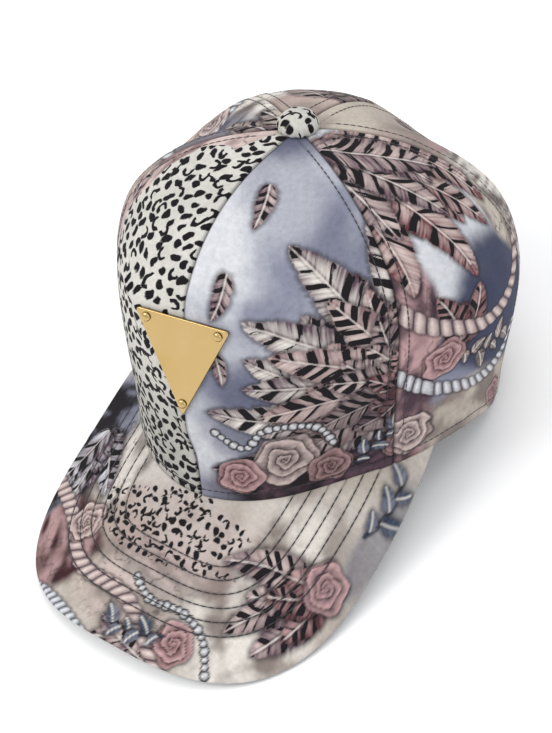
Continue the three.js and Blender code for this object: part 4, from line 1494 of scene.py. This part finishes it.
lip_bend = np.linspace(0, math.pi / 2, 8)[1:]
dome_bend = np.linspace(0, math.pi / 2, 40)[1:]
dome_height = BUTTON_HEIGHT - BUTTON_LIP
button_profile = np.array(
    [(0.0, 0.15), (2.5, 0.12), (5.0, 0.1), (BUTTON_FOOT, 0.08)]
    + [(BUTTON_FOOT + BUTTON_LIP * math.sin(b), BUTTON_LIP * (1 - math.cos(b))) for b in lip_bend]
    + [(BUTTON_RADIUS * math.cos(b), BUTTON_LIP + dome_height * math.sin(b)) for b in dome_bend]
)
button, shell = turned_piece("covered_button", button_profile, 160, crown_top, np.eye(3), gathered)
arc = np.arctan2(np.hypot(shell[:, 0], shell[:, 1]), shell[:, 2] - 0.5) * 7.6
bearing = np.arctan2(shell[:, 1], shell[:, 0])
button_x, button_y = arc * np.cos(bearing), arc * np.sin(bearing)
button_cloth = FlatCloth(button_x, button_y, 300, SPOTTED_GROUND * 0.94, SPOTTED_GROUND, 9.0)
button_cloth.spots(5.2, 1.75, 40, 0.4, 0.5)
add_print(button, button_x, button_y, button_cloth)
hand_over(button, "button", (spotted_cloth,))

# The badge: a stamped plate of polished gold-plated zinc, three-cornered with its point
# down, left plain. A domed rivet in each corner holds it through the front seam.
BADGE_THICK = 1.5
BADGE_CORNER = 2.6
# How far in from the outline and how high each ring of the stamped edge lies
BADGE_ROUND = ((0.25, 0.0), (0.0, 0.22), (0.0, 1.12), (0.08, 1.34), (0.26, 1.46), (0.5, BADGE_THICK))
RIVET_HEAD = 2.1
RIVET_DOME = 1.1
RIVET_INSET = 6.4

gold, tree, shader = new_finish("polished_gold", Metallic=1.0)
smudge = noise_node(tree, on_object(tree), 70.0, 6.0)
hairline_stretch = tree.nodes.new("ShaderNodeMapping")
hairline_stretch.inputs["Rotation"].default_value = (0.0, 0.3, 0.5)
hairline_stretch.inputs["Scale"].default_value = (300.0, 300.0, 6000.0)
tree.links.new(on_object(tree), hairline_stretch.inputs["Vector"])
hairline = noise_node(tree, hairline_stretch.outputs[0], 1.0)
plated = mix_node(tree, smudge, solid_colour("#b39459"), solid_colour("#c3aa7c"))
# Painted shade: the plate's edge and each rivet's foot turn dark brown towards the cloth, by the crease
# value.
shade_darkened = mix_node(tree, painted_value(tree, "crease")["Fac"], plated, solid_colour("#4a3517"))
tree.links.new(shade_darkened, shader.inputs["Base Color"])
roughness = math_node(tree, "MULTIPLY_ADD", smudge, 0.16, 0.14)
tree.links.new(math_node(tree, "MULTIPLY_ADD", hairline, 0.05, roughness), shader.inputs["Roughness"])
bumped(tree, shader, hairline, 0.12, 0.00005)

badge_axes = np.stack([badge_across, badge_up, badge_out])
badge_middle = badge_seat + BADGE_CLEAR * badge_out
corners = np.array([
    (-BADGE_WIDTH, BADGE_HEIGHT), (0.0, -BADGE_HEIGHT), (BADGE_WIDTH, BADGE_HEIGHT),
]) / 2
outline = []
rivet_places = []
for k, corner in enumerate(corners):
    next_corner = corners[(k + 1) % 3]
    before = (corners[k - 1] - corner) / np.linalg.norm(corners[k - 1] - corner)
    after = (next_corner - corner) / np.linalg.norm(next_corner - corner)
    bend_start, bend_end = corner + BADGE_CORNER * before, corner + BADGE_CORNER * after
    for s in np.linspace(0, 1, 11):
        outline.append(bend_start * (1 - s) ** 2 + corner * 2 * s * (1 - s) + bend_end * s * s)
    for s in np.linspace(0, 1, 14)[1:-1]:
        outline.append(bend_end + (next_corner - BADGE_CORNER * after - bend_end) * s)
    rivet_places.append(corner + RIVET_INSET * (before + after) / np.linalg.norm(before + after))
outline = np.array(outline)
tangent = np.roll(outline, -1, axis=0) - np.roll(outline, 1, axis=0)
tangent = tangent / np.linalg.norm(tangent, axis=1, keepdims=True)
inward = np.stack([-tangent[:, 1], tangent[:, 0]], axis=1)
rings = np.stack([
    np.column_stack([outline + inset * inward, np.full(len(outline), high)])
    for inset, high in BADGE_ROUND
], axis=1)
middle = outline.mean(axis=0)
plate_points = np.concatenate([rings.reshape(-1, 3), [[*middle, 0.0], [*middle, BADGE_THICK]]])
looped = np.concatenate([numbered(rings), numbered(rings)[:1]], axis=0)
fans = end_fans(looped, len(plate_points))
plate = sewn_mesh(
    "badge_plate_stamped", badge_middle + plate_points @ badge_axes, grid_quads(looped), fans)
flat_faces = np.arange(len(plate.data.polygons)) >= len(plate.data.polygons) - len(fans)
plate.data.polygons.foreach_set("use_smooth", ~flat_faces)
# Painted shade on the plate's edge, darkest next to the cloth.
set_values(plate.data, "crease", "FLOAT", 0.85 * (1.0 - smooth((plate_points[:, 2] - 0.2) / 1.1)))
hand_over(plate, "badge_plate", (gold,))

rivet_bend = np.linspace(0, math.pi / 2, 12)[1:]
rivet_profile = np.array(
    [(0.0, -0.3), (RIVET_HEAD - 0.25, -0.3), (RIVET_HEAD, 0.0), (RIVET_HEAD, 0.22)]
    + [(RIVET_HEAD * math.cos(b) ** 0.8, 0.3 + RIVET_DOME * math.sin(b)) for b in rivet_bend]
)
for place, node in zip(rivet_places, ("rivet_upper_right", "rivet_lower", "rivet_upper_left")):
    origin = badge_middle + np.array([*place, BADGE_THICK]) @ badge_axes
    rivet, shell = turned_piece(node + "_head", rivet_profile, 40, origin, badge_axes)
    # Painted shade round each rivet's foot.
    set_values(rivet.data, "crease", "FLOAT", 0.9 * (1.0 - smooth((shell[:, 2] - 0.15) / 0.5)))
    hand_over(rivet, node, (gold,))

# The studio: a pale floor that runs out of sight, soft lamps above and beside, and the
# camera at the photograph's angle to the cap.
FLOOR_REACH = 6.0
ROOM_BRIGHTNESS = 0.92
VIEW_TURN = math.radians(38.555)
VIEW_RISE = math.radians(39.850)
VIEW_ROLL = math.radians(-3.817)
VIEW_DISTANCE = 817.7
VIEW_ASIDE = 16.98
VIEW_ABOVE = 30.09
VIEW_TARGET = np.array([0.0, 0.0, 50.0])
FOCAL_PIXELS = 1797.6
PHOTO_HEIGHT = 733
SENSOR = 36.0

floor_mesh = bpy.data.meshes.new("floor")
floor_turns = ((-1, -1), (1, -1), (1, 1), (-1, 1))
floor_corners = [(FLOOR_REACH * x, FLOOR_REACH * y, 0) for x, y in floor_turns]
floor_mesh.from_pydata(floor_corners, [], [(0, 1, 2, 3)])
paper, _, _ = new_finish("pale_paper", Base_Color=(0.95, 0.95, 0.95, 1.0), Roughness=0.9)
floor_mesh.materials.append(paper)
in_scene("floor", floor_mesh)

world = bpy.data.worlds.new("studio")
bpy.context.scene.world = world
world.use_nodes = True
world.node_tree.nodes["Background"].inputs[0].default_value = (0.97, 0.98, 1.0, 1.0)
world.node_tree.nodes["Background"].inputs[1].default_value = ROOM_BRIGHTNESS
bpy.context.scene.view_settings.view_transform = "Standard"

for name, place, aim, width, height, power, colour in (
    ("key_softbox", (-0.7, -1.0, 1.3), (0.0, 0.0, 0.08), 1.0, 0.8, 12.5, (1.0, 0.985, 0.96)),
    ("fill_softbox", (1.3, -0.5, 0.9), (0.0, 0.0, 0.08), 0.9, 0.9, 4.0, (0.95, 0.97, 1.0)),
    ("top_softbox", (0.1, 0.4, 1.5), (0.0, 0.0, 0.1), 1.2, 1.0, 5.0, (1.0, 1.0, 1.0)),
):
    softbox = bpy.data.lights.new(name, "AREA")
    softbox.shape = "RECTANGLE"
    softbox.size = width
    softbox.size_y = height
    softbox.energy = power
    softbox.color = colour
    lamp = in_scene(name, softbox)
    lamp.location = place
    lamp.rotation_euler = (Vector(aim) - Vector(place)).to_track_quat("-Z", "Y").to_euler()

backward = np.array([
    math.sin(VIEW_TURN) * math.cos(VIEW_RISE),
    -math.cos(VIEW_TURN) * math.cos(VIEW_RISE),
    math.sin(VIEW_RISE),
])
level_right = np.array([math.cos(VIEW_TURN), math.sin(VIEW_TURN), 0.0])
level_up = np.cross(backward, level_right)
right = level_right * math.cos(VIEW_ROLL) + level_up * math.sin(VIEW_ROLL)
upward = level_up * math.cos(VIEW_ROLL) - level_right * math.sin(VIEW_ROLL)
eye = VIEW_TARGET + backward * VIEW_DISTANCE - right * VIEW_ASIDE - upward * VIEW_ABOVE
view_axes = [Vector((at_rest(eye + axis) - at_rest(eye)) / MM) for axis in (right, upward, backward)]
camera_data = bpy.data.cameras.new("camera")
camera_data.sensor_width = SENSOR
camera_data.lens = FOCAL_PIXELS / PHOTO_HEIGHT * SENSOR
camera_data.clip_start = 0.01
camera = in_scene("camera", camera_data)
camera.matrix_world = Matrix.Translation(Vector(at_rest(eye))) @ Matrix(view_axes).transposed().to_4x4()
bpy.context.scene.camera = camera
